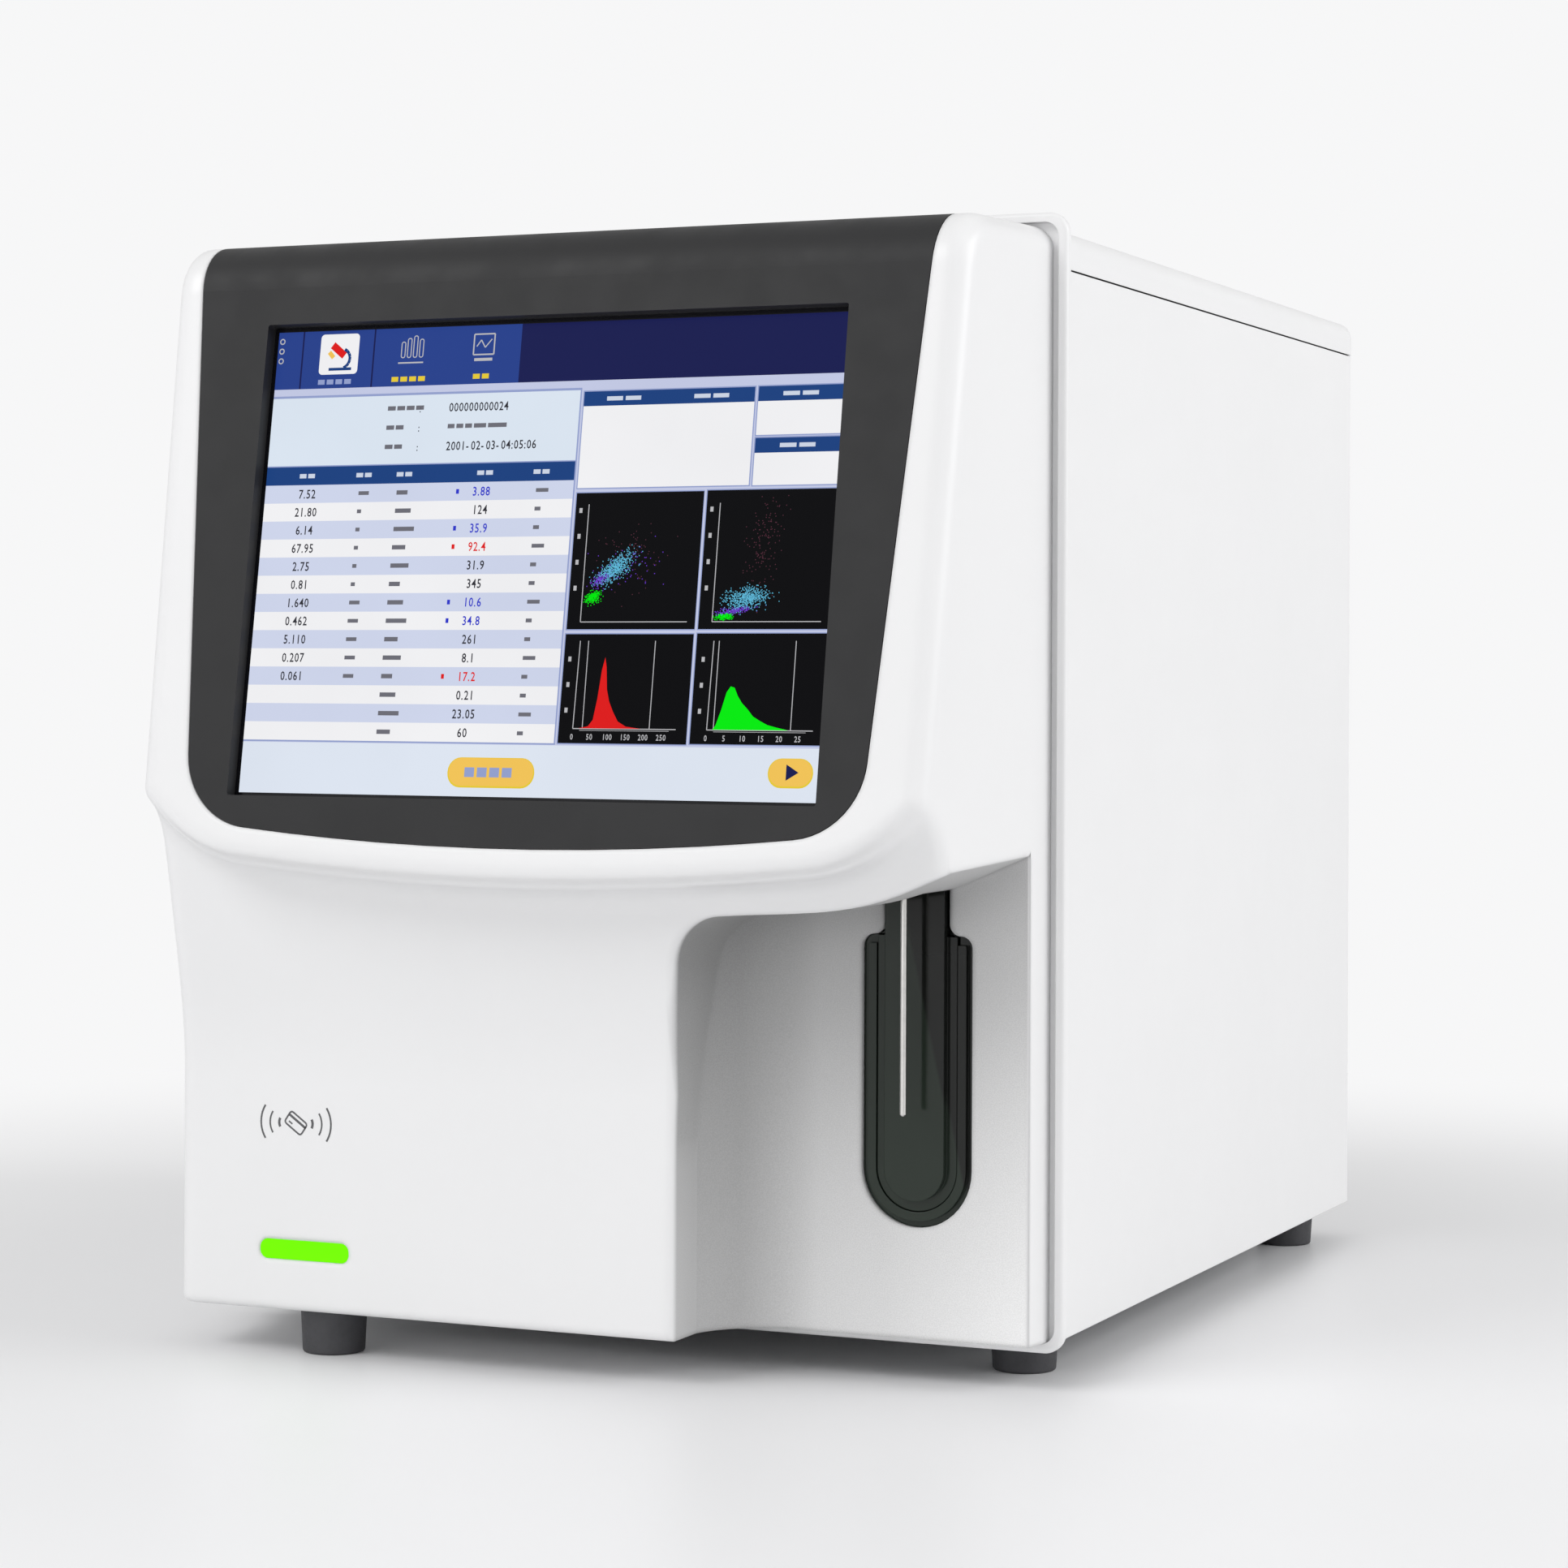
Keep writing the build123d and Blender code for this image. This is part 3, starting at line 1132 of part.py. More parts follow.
def fan_frame():
    """The cooling fan's frame, with spokes that carry its bearing."""
    y1 = REAR_Y - SHEET
    y0 = y1 - FAN_T
    half = FAN / 2
    solid = span(FAN_X - half, FAN_X + half, y0, y1, FAN_Z - half, FAN_Z + half)
    solid = fillet(solid.edges().filter_by(Axis.Y), 4.0)
    solid = solid - rod(FAN_X, y0 - 1, FAN_Z, half - 2.5, FAN_T + 2, Axis.Y)
    for x, z in fan_screw_places():
        solid = solid - rod(x, y0 - 1, z, SCREW_HOLE_R, FAN_T + 2, Axis.Y)
    hub = rod(FAN_X, y0, FAN_Z, FAN_HUB_R, 4, Axis.Y)
    for i in range(4):
        arm = span(-half + 1, half - 1, y0, y0 + 4, -2, 2)
        if i < 2:
            hub = hub + Pos(FAN_X, 0, FAN_Z) * Rot(0, 45 + 90 * i, 0) * arm
    return solid + hub - rod(FAN_X, y0 - 1, FAN_Z, PIN_R + RUN_FIT, 10, Axis.Y)


def fan_rotor():
    """The fan's rotor: a hub with seven pitched blades and a shaft."""
    y0 = REAR_Y - SHEET - FAN_T
    hub = rod(FAN_X, y0 + 5, FAN_Z, FAN_HUB_R, 15, Axis.Y)
    hub = hub + rod(FAN_X, y0 + 0.5, FAN_Z, PIN_R, 6, Axis.Y)
    reach = FAN / 2 - 2.5 - 1.2
    for i in range(7):
        blade = Box(reach - FAN_HUB_R + 2, 14, 1.6)
        blade = Pos((reach + FAN_HUB_R - 2) / 2, 0, 0) * Rot(38, 0, 0) * blade
        hub = hub + Pos(FAN_X, y0 + 12.5, FAN_Z) * Rot(0, 360 / 7 * i, 0) * blade
    limit = rod(FAN_X, y0, FAN_Z, reach, 21, Axis.Y)
    return hub & limit


def fan_guard():
    """The guard over the fan's opening: rings on two bars, with an eye at each screw."""
    wire = 2 * GUARD_WIRE_R
    pitch = FAN_PITCH / 2
    grid = Rot(0, 0, 45) * Rectangle(2.7 * pitch, wire) + Rot(0, 0, -45) * Rectangle(2.7 * pitch, wire)
    for i in range(5):
        radius = 8.0 + i * 7.0
        grid = grid + (Circle(radius + GUARD_WIRE_R) - Circle(radius - GUARD_WIRE_R))
    corners = [Pos(i * pitch, k * pitch) for i in (-1, 1) for k in (-1, 1)]
    for corner in corners:
        grid = grid + corner * Circle(SCREW_HOLE_R + wire)
    for corner in corners:
        grid = grid - corner * Circle(SCREW_HOLE_R)
    return prism_y(Pos(FAN_X, FAN_Z) * grid, REAR_Y, REAR_Y + wire)


def switch_case():
    """The power switch's case, with a well and pivot holes for the rocker."""
    y = REAR_Y
    w, h = SWITCH_W / 2 - 0.2, SWITCH_H / 2 - 0.2
    solid = span(SWITCH_X - w, SWITCH_X + w, y - 18, y, INLET_Z - h, INLET_Z + h)
    solid = solid + span(SWITCH_X - w - 1.5, SWITCH_X + w + 1.5, y, y + 2, INLET_Z - h - 1.5, INLET_Z + h + 1.5)
    solid = solid - span(SWITCH_X - w + 2, SWITCH_X + w - 2, y - 10, y + 5, INLET_Z - h + 1.6, INLET_Z + h - 1.6)
    for side in (-1, 1):
        x = SWITCH_X + side * (w - 2)
        solid = solid - rod(min(x, x + side * 1.2), y - 3, INLET_Z, 1.5 + RUN_FIT, 1.2, Axis.X)
    return solid


def mains_inlet():
    """The mains inlet with its switch: one flange, a socket with three blades."""
    y = REAR_Y
    w, h = INLET_W / 2 - 0.2, INLET_H / 2 - 0.2
    solid = span(INLET_X - w, INLET_X + w, y - 22, y, INLET_Z - h, INLET_Z + h)
    solid = solid + span(INLET_X - w - 3, INLET_X + w + 3, y, y + 2.5, INLET_Z - h - 3, INLET_Z + h + 3)
    well = Pos(INLET_X, INLET_Z) * RectangleRounded(INLET_W - 3, INLET_H - 4, 3)
    solid = solid - prism_y(well, y - 16, y + 5)
    for x, z in ((-7.0, -1.5), (0.0, 2.0), (7.0, -1.5)):
        blade = span(INLET_X + x - 1, INLET_X + x + 1, y - 18, y - 2, INLET_Z + z - 2, INLET_Z + z + 2)
        solid = solid + blade
    left = INLET_X + w - 2
    right = SWITCH_X - SWITCH_W / 2 + 1
    bridge = span(left, right, y, y + 2.0, INLET_Z - SWITCH_H / 2, INLET_Z + SWITCH_H / 2)
    bridge = bridge - prism_y(well, y - 16, y + 5)
    return solid + bridge + switch_case()


def power_rocker():
    """The rocker on its two pivots, resting at one side."""
    w = SWITCH_W / 2 - 2.5
    high = SWITCH_H / 2 - 3.0
    profile = Polyline((-4.5, -high + 1.5), (2.8, -high), (4.4, -high + 1.0), (2.2, 0), (4.4, high - 1.0),
                       (2.8, high), (-4.5, high - 1.5), close=True)
    face = side_plane() * make_face(profile)
    body = Pos(SWITCH_X - w, REAR_Y - 3, INLET_Z) * Rot(ROCKER_TILT, 0, 0) * extrude(face, amount=2 * w)
    return body + rod(SWITCH_X - w - 1.4, REAR_Y - 3, INLET_Z, 1.5, 2 * w + 2.8, Axis.X)


def io_sockets():
    """The data sockets, each a shell with a tongue, held on the rear panel."""
    group = []
    for x, z, w, h in SOCKETS:
        w = w - 0.3
        h = h - 0.3
        shell = span(x - w / 2, x + w / 2, REAR_Y - 16, REAR_Y + 0.5, z - h / 2, z + h / 2)
        shell = shell - span(x - w / 2 + 1, x + w / 2 - 1, REAR_Y - 13, REAR_Y + 2, z - h / 2 + 1, z + h / 2 - 1)
        tongue = span(x - w / 2 + 2, x + w / 2 - 2, REAR_Y - 14, REAR_Y - 2, z - 1, z + 1)
        flange = span(x - w / 2 - 2, x + w / 2 + 2, REAR_Y - 4, REAR_Y - SHEET, z - h / 2 - 2, z + h / 2 + 2)
        inner = span(x - w / 2 + 1, x + w / 2 - 1, REAR_Y - 13, REAR_Y + 2, z - h / 2 + 1, z + h / 2 - 1)
        made = shell + (flange - inner)
        group.append(made + tongue if h > 12 else made)
    return group


def spigot(x):
    """A turned hose spigot with three ridges, no wider than its straight part."""
    ridge_y = REAR_Y + PORT_STICK_OUT - 3 * RIDGE_PITCH
    body = rod(x, REAR_Y - PORT_INSIDE, PORT_Z, PORT_R, PORT_INSIDE + ridge_y - REAR_Y, Axis.Y)
    for i in range(3):
        ridge = Cone(PORT_R, PORT_R - RIDGE_DEPTH, RIDGE_PITCH, align=(Align.CENTER, Align.CENTER, Align.MIN))
        body = body + Pos(x, ridge_y + i * RIDGE_PITCH, PORT_Z) * Rot(-90, 0, 0) * ridge
    return body - rod(x, REAR_Y - PORT_INSIDE - 1, PORT_Z, PORT_R - PORT_WALL, 2 * PORT_INSIDE + PORT_STICK_OUT, Axis.Y)


def hose_fittings():
    """Four spigots through the rear panel, with nuts and collars, and the syringes' own."""
    group = syringe_fittings()
    for x in PORT_X:
        nut = prism_y(Pos(x, PORT_Z) * RegularPolygon(8.0, 6), REAR_Y, REAR_Y + PORT_NUT_T)
        collar = rod(x, REAR_Y - SHEET - 3, PORT_Z, 7.0, 3, Axis.Y)
        hole = rod(x, REAR_Y - 10, PORT_Z, PORT_R - PORT_WALL / 2, 20, Axis.Y)
        group.append(spigot(x) + (nut - hole) + (collar - hole))
    return group


def earth_stud():
    """The earth stud with its washer and two nuts."""
    y = REAR_Y
    stud = rod(EARTH_X, y - 8, INLET_Z, 2.0, 20, Axis.Y)
    washer = rod(EARTH_X, y, INLET_Z, 4.5, 0.8, Axis.Y)
    nut = prism_y(Pos(EARTH_X, INLET_Z) * RegularPolygon(4.0, 6), y + 0.8, y + 4)
    back = prism_y(Pos(EARTH_X, INLET_Z) * RegularPolygon(4.0, 6), y - SHEET - 3.2, y - SHEET)
    return stud + washer + nut + back


def rear_angles():
    """Two angle strips that join the rear panel to the side panels."""
    group = []
    for side in (-1, 1):
        x0 = side * (INSIDE - 0.1)
        x1 = side * (INSIDE - 16)
        y1 = REAR_Y - SHEET
        leg = span(x0, x1, y1 - 1.5, y1, 34, 358)
        wall = span(x0, side * (INSIDE - 1.6), y1 - 14, y1, 34, 358)
        angle = leg + wall
        for z in (40.0, 200.0, 352.0):
            angle = angle - rod(side * (INSIDE - 9), y1 - 5, z, SCREW_SHANK_R + 0.02, 10, Axis.Y)
        group.append(angle)
    return group


def all_nodes():
    """Every node's name with the function and arguments that make it."""
    feet = {name: (foot, name) for name in FOOT_PLACES}
    plain = (
        front_housing, front_base_plate, rim_frame, display_bezel, touch_screen, lcd_module, lcd_bracket,
        status_light, led_board, card_reader_board, key_surround, aspirate_key, key_switch, base_tray,
        chassis_screws, top_cover, rear_panel, rear_angles, mid_wall, main_board, power_supply,
        lift_bracket, guide_rods, lift_motor, drive_pulley, idler_pulley, idler_pin, lift_belt,
        probe_carriage, probe_needle, rinse_block, syringe_bracket, syringe_barrels,
        syringe_motors, bath_bracket, counting_baths, optical_bench, laser_module, flow_cell,
        detector_block, valve_manifold, solenoid_valves, diaphragm_pumps, vacuum_chamber, fan_frame,
        fan_rotor, fan_guard, mains_inlet, power_rocker, io_sockets, hose_fittings, earth_stud,
    )
    nodes = {make.__name__: (make,) for make in plain}
    nodes.update(feet)
    nodes["right_panel"] = (side_panel, 1)
    nodes["left_panel"] = (side_panel, -1)
    nodes["front_piston"] = (syringe_piston, 0)
    nodes["rear_piston"] = (syringe_piston, 1)
    return nodes


def solids_of(made):
    """The solids of a shape or of a list of shapes."""
    shapes = made if isinstance(made, (list, tuple)) else [made]
    return [solid for shape in shapes for solid in shape.solids()]


def main():
    """Builds every node, centres the model over its base and writes the files."""
    os.makedirs("parts", exist_ok=True)
    made = {}
    for name, (make, *values) in all_nodes().items():
        made[name] = solids_of(make(*values))
    boxes = [solid.bounding_box() for group in made.values() for solid in group]
    front = min(box.min.Y for box in boxes)
    back = max(box.max.Y for box in boxes)
    shift = -(front + back) / 2
    print("shift in y", round(shift, 4), "front", round(front, 3), "back", round(back, 3))
    for name, group in made.items():
        moved = [Pos(0, shift, 0) * solid for solid in group]
        shape = moved[0] if len(moved) == 1 else Compound(children=moved)
        export_step(shape, f"parts/{name}.step")


main()
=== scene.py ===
import json
import math
import random

import bpy
from mathutils import Matrix, Vector
from mathutils.bvhtree import BVHTree


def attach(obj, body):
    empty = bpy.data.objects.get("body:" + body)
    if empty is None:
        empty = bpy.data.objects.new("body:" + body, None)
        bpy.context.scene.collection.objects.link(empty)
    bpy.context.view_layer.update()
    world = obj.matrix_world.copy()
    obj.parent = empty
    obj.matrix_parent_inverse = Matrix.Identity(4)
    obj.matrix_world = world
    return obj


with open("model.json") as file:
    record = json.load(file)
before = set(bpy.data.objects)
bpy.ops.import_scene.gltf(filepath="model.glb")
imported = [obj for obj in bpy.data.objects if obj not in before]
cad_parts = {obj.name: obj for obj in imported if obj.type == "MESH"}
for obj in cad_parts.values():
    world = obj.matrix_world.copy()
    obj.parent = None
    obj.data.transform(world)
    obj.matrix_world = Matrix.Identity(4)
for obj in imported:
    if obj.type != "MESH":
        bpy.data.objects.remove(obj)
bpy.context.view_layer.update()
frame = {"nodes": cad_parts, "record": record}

NODES = frame["nodes"]
MM = 0.001


# Building blocks of the materials. Colours are linear, and the patterns' places are in metres.

def shader(name, colour, rough, metal=0.0):
    """A material with one principled shader, and the tree to build on."""
    made = bpy.data.materials.new(name)
    made.use_nodes = True
    tree = made.node_tree
    tree.nodes.clear()
    out = tree.nodes.new("ShaderNodeOutputMaterial")
    main = tree.nodes.new("ShaderNodeBsdfPrincipled")
    tree.links.new(main.outputs["BSDF"], out.inputs["Surface"])
    main.inputs["Base Color"].default_value = (*colour, 1.0)
    main.inputs["Roughness"].default_value = rough
    main.inputs["Metallic"].default_value = metal
    made.diffuse_color = (*colour, 1.0)
    return made, tree, main


def noise(tree, scale, detail=3.0, stretch=(1.0, 1.0, 1.0)):
    """A noise pattern in the part's own coordinates."""
    place = tree.nodes.new("ShaderNodeTexCoord")
    sized = tree.nodes.new("ShaderNodeMapping")
    sized.inputs["Scale"].default_value = stretch
    made = tree.nodes.new("ShaderNodeTexNoise")
    made.inputs["Scale"].default_value = scale
    made.inputs["Detail"].default_value = detail
    tree.links.new(place.outputs["Object"], sized.inputs["Vector"])
    tree.links.new(sized.outputs["Vector"], made.inputs["Vector"])
    return made.outputs["Fac"]


def spread(tree, value, low, high, ends=(0.35, 0.65)):
    """A value that runs from low to high between its two ends, and stays level outside them."""
    made = tree.nodes.new("ShaderNodeMapRange")
    made.inputs["From Min"].default_value, made.inputs["From Max"].default_value = ends
    made.inputs["To Min"].default_value = low
    made.inputs["To Max"].default_value = high
    tree.links.new(value, made.inputs["Value"])
    return made.outputs["Result"]


def shades(tree, value, first, second, ends=(0.3, 0.7)):
    """A colour that runs from the first shade to the second between a value's two ends."""
    ramp = tree.nodes.new("ShaderNodeValToRGB")
    for element, end, shade in zip(ramp.color_ramp.elements, ends, (first, second)):
        element.position = end
        element.color = (*shade, 1.0)
    tree.links.new(value, ramp.inputs["Fac"])
    return ramp.outputs["Color"]


def step(tree, kind, first, second=0.0):
    """One step of arithmetic between two values, each a number or an output."""
    made = tree.nodes.new("ShaderNodeMath")
    made.operation = kind
    for place, value in enumerate((first, second)):
        if isinstance(value, (int, float)):
            made.inputs[place].default_value = value
        else:
            tree.links.new(value, made.inputs[place])
    return made.outputs[0]


def product(tree, first, *others):
    """Several values multiplied together."""
    for other in others:
        first = step(tree, "MULTIPLY", first, other)
    return first


def tinted(tree, colour, amount):
    """A colour times a value."""
    made = tree.nodes.new("ShaderNodeVectorMath")
    made.operation = "SCALE"
    tree.links.new(colour, made.inputs[0])
    tree.links.new(amount, made.inputs["Scale"])
    return made.outputs["Vector"]


def place_of(tree):
    """The surface's own x, y and z."""
    place = tree.nodes.new("ShaderNodeTexCoord")
    parts = tree.nodes.new("ShaderNodeSeparateXYZ")
    tree.links.new(place.outputs["Object"], parts.inputs["Vector"])
    return parts.outputs


def bumps(tree, main, height, distance, edge=0.0):
    """Puts a height pattern on the surface and softens its edges, both in millimetres."""
    made = tree.nodes.new("ShaderNodeBump")
    if edge:
        soft = tree.nodes.new("ShaderNodeBevel")
        soft.samples = 6
        soft.inputs["Radius"].default_value = edge * MM
        tree.links.new(soft.outputs["Normal"], made.inputs["Normal"])
    made.inputs["Distance"].default_value = distance * MM
    made.inputs["Strength"].default_value = 1.0
    tree.links.new(height, made.inputs["Height"])
    tree.links.new(made.outputs["Normal"], main.inputs["Normal"])


def scaled(colour, amount):
    """A colour made lighter or darker."""
    return tuple(min(1.0, max(0.0, part * amount)) for part in colour)


# The finishes that need only the common one: colour, roughness and what differs from it.

WHITE = (0.80, 0.80, 0.805)
FINISHES = {
    "white_rim": (WHITE, 0.34, dict(vary=0.006, grain=1600.0, depth=0.006, edge=0.5)),
    "dark_bezel": ((0.026, 0.026, 0.027), 0.5, dict(grain=2200.0, depth=0.004, shine=0.2)),
    "screen_glass": ((0.006, 0.006, 0.008), 0.16,
                     dict(vary=0.1, depth=0.0, rough_vary=0.02, shine=0.2)),
    "dark_metal": ((0.035, 0.036, 0.04), 0.42, dict(grain=1200.0)),
    "steel_sheet": ((0.52, 0.53, 0.54), 0.36, dict(metal=1.0, vary=0.06, cloud=60.0, depth=0.01)),
    "circuit_board": ((0.012, 0.11, 0.045), 0.35, dict(vary=0.2, cloud=220.0, depth=0.03)),
    "foot_rubber": ((0.045, 0.045, 0.05), 0.62, dict(vary=0.12, cloud=120.0, depth=0.05)),
    "screw_steel": ((0.62, 0.61, 0.58), 0.25,
                    dict(metal=1.0, vary=0.05, cloud=300.0, depth=0.005)),
    "ground_steel": ((0.66, 0.65, 0.63), 0.22,
                     dict(metal=1.0, vary=0.05, cloud=200.0, grain=3000.0, depth=0.004,
                          stretch=(1.0, 1.0, 0.02))),
    "alloy": ((0.66, 0.67, 0.68), 0.34,
              dict(metal=1.0, vary=0.05, cloud=80.0, grain=2000.0, depth=0.006,
                   stretch=(0.05, 1.0, 1.0))),
    "belt_rubber": ((0.02, 0.02, 0.02), 0.6, dict(vary=0.15, cloud=200.0, depth=0.04)),
    "natural_plastic": ((0.66, 0.65, 0.60), 0.4, dict(vary=0.04, cloud=60.0)),
    "black_plastic": ((0.022, 0.022, 0.023), 0.42, dict(vary=0.12, cloud=90.0)),
    "socket_steel": ((0.60, 0.60, 0.58), 0.25,
                     dict(metal=1.0, vary=0.05, cloud=300.0, depth=0.004)),
    "brass": ((0.68, 0.52, 0.25), 0.3, dict(metal=1.0, vary=0.06, cloud=200.0, depth=0.004)),
    "grey_ink": ((0.10, 0.10, 0.105), 0.5, dict(vary=0.1, cloud=400.0, grain=3000.0, depth=0.004)),
}


def finish(name, colour, rough, metal=0.0, vary=0.03, cloud=14.0, grain=900.0, depth=0.02,
           rough_vary=0.05, stretch=(1.0, 1.0, 1.0), shine=0.5, edge=0.0):
    """The common finish: a soft variation of colour, a finer one of gloss, and a grain."""
    made, tree, main = shader(name, colour, rough, metal)
    tint = shades(tree, noise(tree, cloud), scaled(colour, 1 - vary), scaled(colour, 1 + vary))
    gloss = spread(tree, noise(tree, cloud * 5), rough - rough_vary, rough + rough_vary)
    tree.links.new(tint, main.inputs["Base Color"])
    tree.links.new(gloss, main.inputs["Roughness"])
    main.inputs["Specular IOR Level"].default_value = shine
    bumps(tree, main, noise(tree, grain, 2.0, stretch), depth, edge)
    return made


# The finishes that change from place to place on a piece. Each pair gives the two ends of such a
# change, in metres.

# The seam's dark line on the case's sides: its height and half width, how far out it starts, how
# far back it runs, and its share of the white.
SEAM_Z = 0.36825
SEAM_EDGE = (0.00028, 0.00031)
SEAM_SIDE = (0.1530, 0.1532)
SEAM_END = (0.2205, 0.2210)
SEAM_SHADE = 0.03

# The key's painted reflection: the line's slant and place, the rise over which the shade fades, and
# the shades, green on the left of the line and black on its right.
KEY_REFLECTION_SLANT = 0.226
KEY_REFLECTION_LINE = (0.1440, 0.1452)
KEY_RISE = (0.070, 0.160)
KEY_REFLECTION_GREEN = (0.017, 0.024, 0.018)
KEY_BLACK = (0.008, 0.009, 0.008)

# The bay: its limits to all sides, the flank's taper, where the block's front starts to lean and by
# what share, and its painted shade: its shades from the foot up, darker towards the roof, and the
# changes beside its left wall, darker, and towards its open side, lighter.
BAY_MOUTH = (-0.1990, -0.1962)
BAY_BACK = (-0.1602, -0.1596)
BAY_LEFT = (0.0420, 0.0428)
BAY_FLANK = (0.1736, 0.1742)
BAY_ROOF = (0.178, 0.180)
FLANK_TAPER = 0.14
FRONT_FALL_Z = 0.096
FRONT_LEAN = 0.19
BAY_SHADE_RISE = (0.02, 0.165)
BAY_SHADE_LOW = (0.68, 0.68, 0.68)
BAY_SHADE_HIGH = (0.42, 0.42, 0.42)
BAY_WALL_SHADE = (0.052, 0.078)
BAY_OPEN_LESS_SHADE = (0.100, 0.150)


def plain_white(tree):
    """The white of the case and the moulding, with hardly any variation."""
    return shades(tree, noise(tree, 14.0), scaled(WHITE, 0.994), scaled(WHITE, 1.006))


def clear_glass():
    """Clear glass for the barrels and the baths."""
    made, tree, main = shader("clear_glass", (0.92, 0.96, 0.97), 0.04)
    main.inputs["Transmission Weight"].default_value = 0.85
    main.inputs["IOR"].default_value = 1.47
    tree.links.new(spread(tree, noise(tree, 120.0), 0.02, 0.07), main.inputs["Roughness"])
    return made


def green_light():
    """The lit lens: lime with a faint unevenness."""
    made, tree, main = shader("green_light", (0.01, 0.06, 0.0), 0.35)
    main.inputs["Specular IOR Level"].default_value = 0.05
    main.inputs["Emission Strength"].default_value = 0.98
    glow = shades(tree, noise(tree, 40.0), (0.17, 0.97, 0.0), (0.20, 1.0, 0.0))
    tree.links.new(glow, main.inputs["Emission Color"])
    bumps(tree, main, noise(tree, 1500.0), 0.004)
    return made


def black_gloss():
    """Polished black, with a painted green reflection left of a slanting line, fading upwards."""
    made, tree, main = shader("black_gloss", (0.010, 0.013, 0.011), 0.10)
    x, _, z = place_of(tree)
    # Painted reflection: a green cast on the left of the slanting line, the whole key darker
    # upwards.
    right = spread(tree, step(tree, "ADD", x, product(tree, z, KEY_REFLECTION_SLANT)), 0.0, 1.0, KEY_REFLECTION_LINE)
    side = shades(tree, right, KEY_REFLECTION_GREEN, KEY_BLACK, (0.0, 1.0))
    low = spread(tree, z, 1.15, 0.75, KEY_RISE)
    tree.links.new(tinted(tree, side, low), main.inputs["Base Color"])
    tree.links.new(spread(tree, noise(tree, 60.0), 0.08, 0.13), main.inputs["Roughness"])
    main.inputs["Specular IOR Level"].default_value = 0.25
    bumps(tree, main, noise(tree, 900.0), 0.001, 0.45)
    return made


def white_paint():
    """Smooth powder coat, with the dark shadow line in the seam under the cover."""
    made, tree, main = shader("white_paint", WHITE, 0.42)
    x, y, z = place_of(tree)
    level = step(tree, "ABSOLUTE", step(tree, "SUBTRACT", z, SEAM_Z))
    thin = spread(tree, level, 1.0, 0.0, SEAM_EDGE)
    outer = spread(tree, step(tree, "ABSOLUTE", x), 0.0, 1.0, SEAM_SIDE)
    ahead = spread(tree, y, 1.0, 0.0, SEAM_END)
    light = spread(tree, product(tree, thin, outer, ahead), 1.0, SEAM_SHADE, (0.0, 1.0))
    tree.links.new(tinted(tree, plain_white(tree), light), main.inputs["Base Color"])
    tree.links.new(spread(tree, noise(tree, 70.0), 0.38, 0.46), main.inputs["Roughness"])
    bumps(tree, main, noise(tree, 700.0, 2.0), 0.012, 0.6)
    return made


def in_bay(tree, x, y, z):
    """One on the sampling bay's walls, nought on the rest of the moulding."""
    above = step(tree, "MAXIMUM", step(tree, "SUBTRACT", z, FRONT_FALL_Z), 0.0)
    from_front = step(tree, "ADD", y, product(tree, above, FRONT_LEAN))
    from_flank = step(tree, "SUBTRACT", x, product(tree, y, FLANK_TAPER))
    return product(tree,
                   spread(tree, from_front, 0.0, 1.0, BAY_MOUTH),
                   spread(tree, y, 1.0, 0.0, BAY_BACK),
                   spread(tree, x, 0.0, 1.0, BAY_LEFT),
                   spread(tree, from_flank, 1.0, 0.0, BAY_FLANK),
                   spread(tree, z, 1.0, 0.0, BAY_ROOF))


def white_moulding():
    """White moulding, with painted grey shade in the sampling bay that darkens upwards and
    leftwards.
    """
    made, tree, main = shader("white_moulding", WHITE, 0.34)
    x, y, z = place_of(tree)
    inside = in_bay(tree, x, y, z)
    # Painted shade in the bay: darker towards the roof and by the left wall, lighter to the open
    # side.
    bay_grain_and_shade = shades(tree, spread(tree, z, 0.0, 1.0, BAY_SHADE_RISE), BAY_SHADE_LOW, BAY_SHADE_HIGH, (0.0, 1.0))
    grain = spread(tree, noise(tree, 2600.0, 1.0), 0.93, 1.05)
    wall_shade = spread(tree, x, 0.72, 1.0, BAY_WALL_SHADE)
    open_side_less_shade = spread(tree, x, 1.0, 1.25, BAY_OPEN_LESS_SHADE)
    bay_grain_and_shade = tinted(tree, bay_grain_and_shade, product(tree, grain, wall_shade, open_side_less_shade))
    blend = tree.nodes.new("ShaderNodeMix")
    blend.data_type = "RGBA"
    tree.links.new(inside, blend.inputs["Factor"])
    tree.links.new(plain_white(tree), blend.inputs[6])
    tree.links.new(bay_grain_and_shade, blend.inputs[7])
    tree.links.new(blend.outputs[2], main.inputs["Base Color"])
    tree.links.new(spread(tree, inside, 0.34, 0.64, (0.0, 1.0)), main.inputs["Roughness"])
    bumps(tree, main, noise(tree, 1600.0, 2.0), 0.006, 3.0)
    return made


LOOKS = {name: finish(name, colour, rough, **more)
         for name, (colour, rough, more) in FINISHES.items()}
LOOKS.update(white_moulding=white_moulding(), white_paint=white_paint(),
             black_gloss=black_gloss(), clear_glass=clear_glass(), green_light=green_light())


def dress_cad():
    """Every CAD node gets the finish of its slot, and the rim a smoother white."""
    for row in frame["record"]["subparts"]:
        node = NODES[row["node"]]
        node.data.materials.clear()
        look = "white_rim" if row["node"] == "rim_frame" else row["material_slot"]
        node.data.materials.append(LOOKS[look])


dress_cad()


# Flat outlines, in millimetres.

def box(u0, v0, u1, v1):
    """A rectangle's outline."""
    return [(u0, v0), (u1, v0), (u1, v1), (u0, v1)]


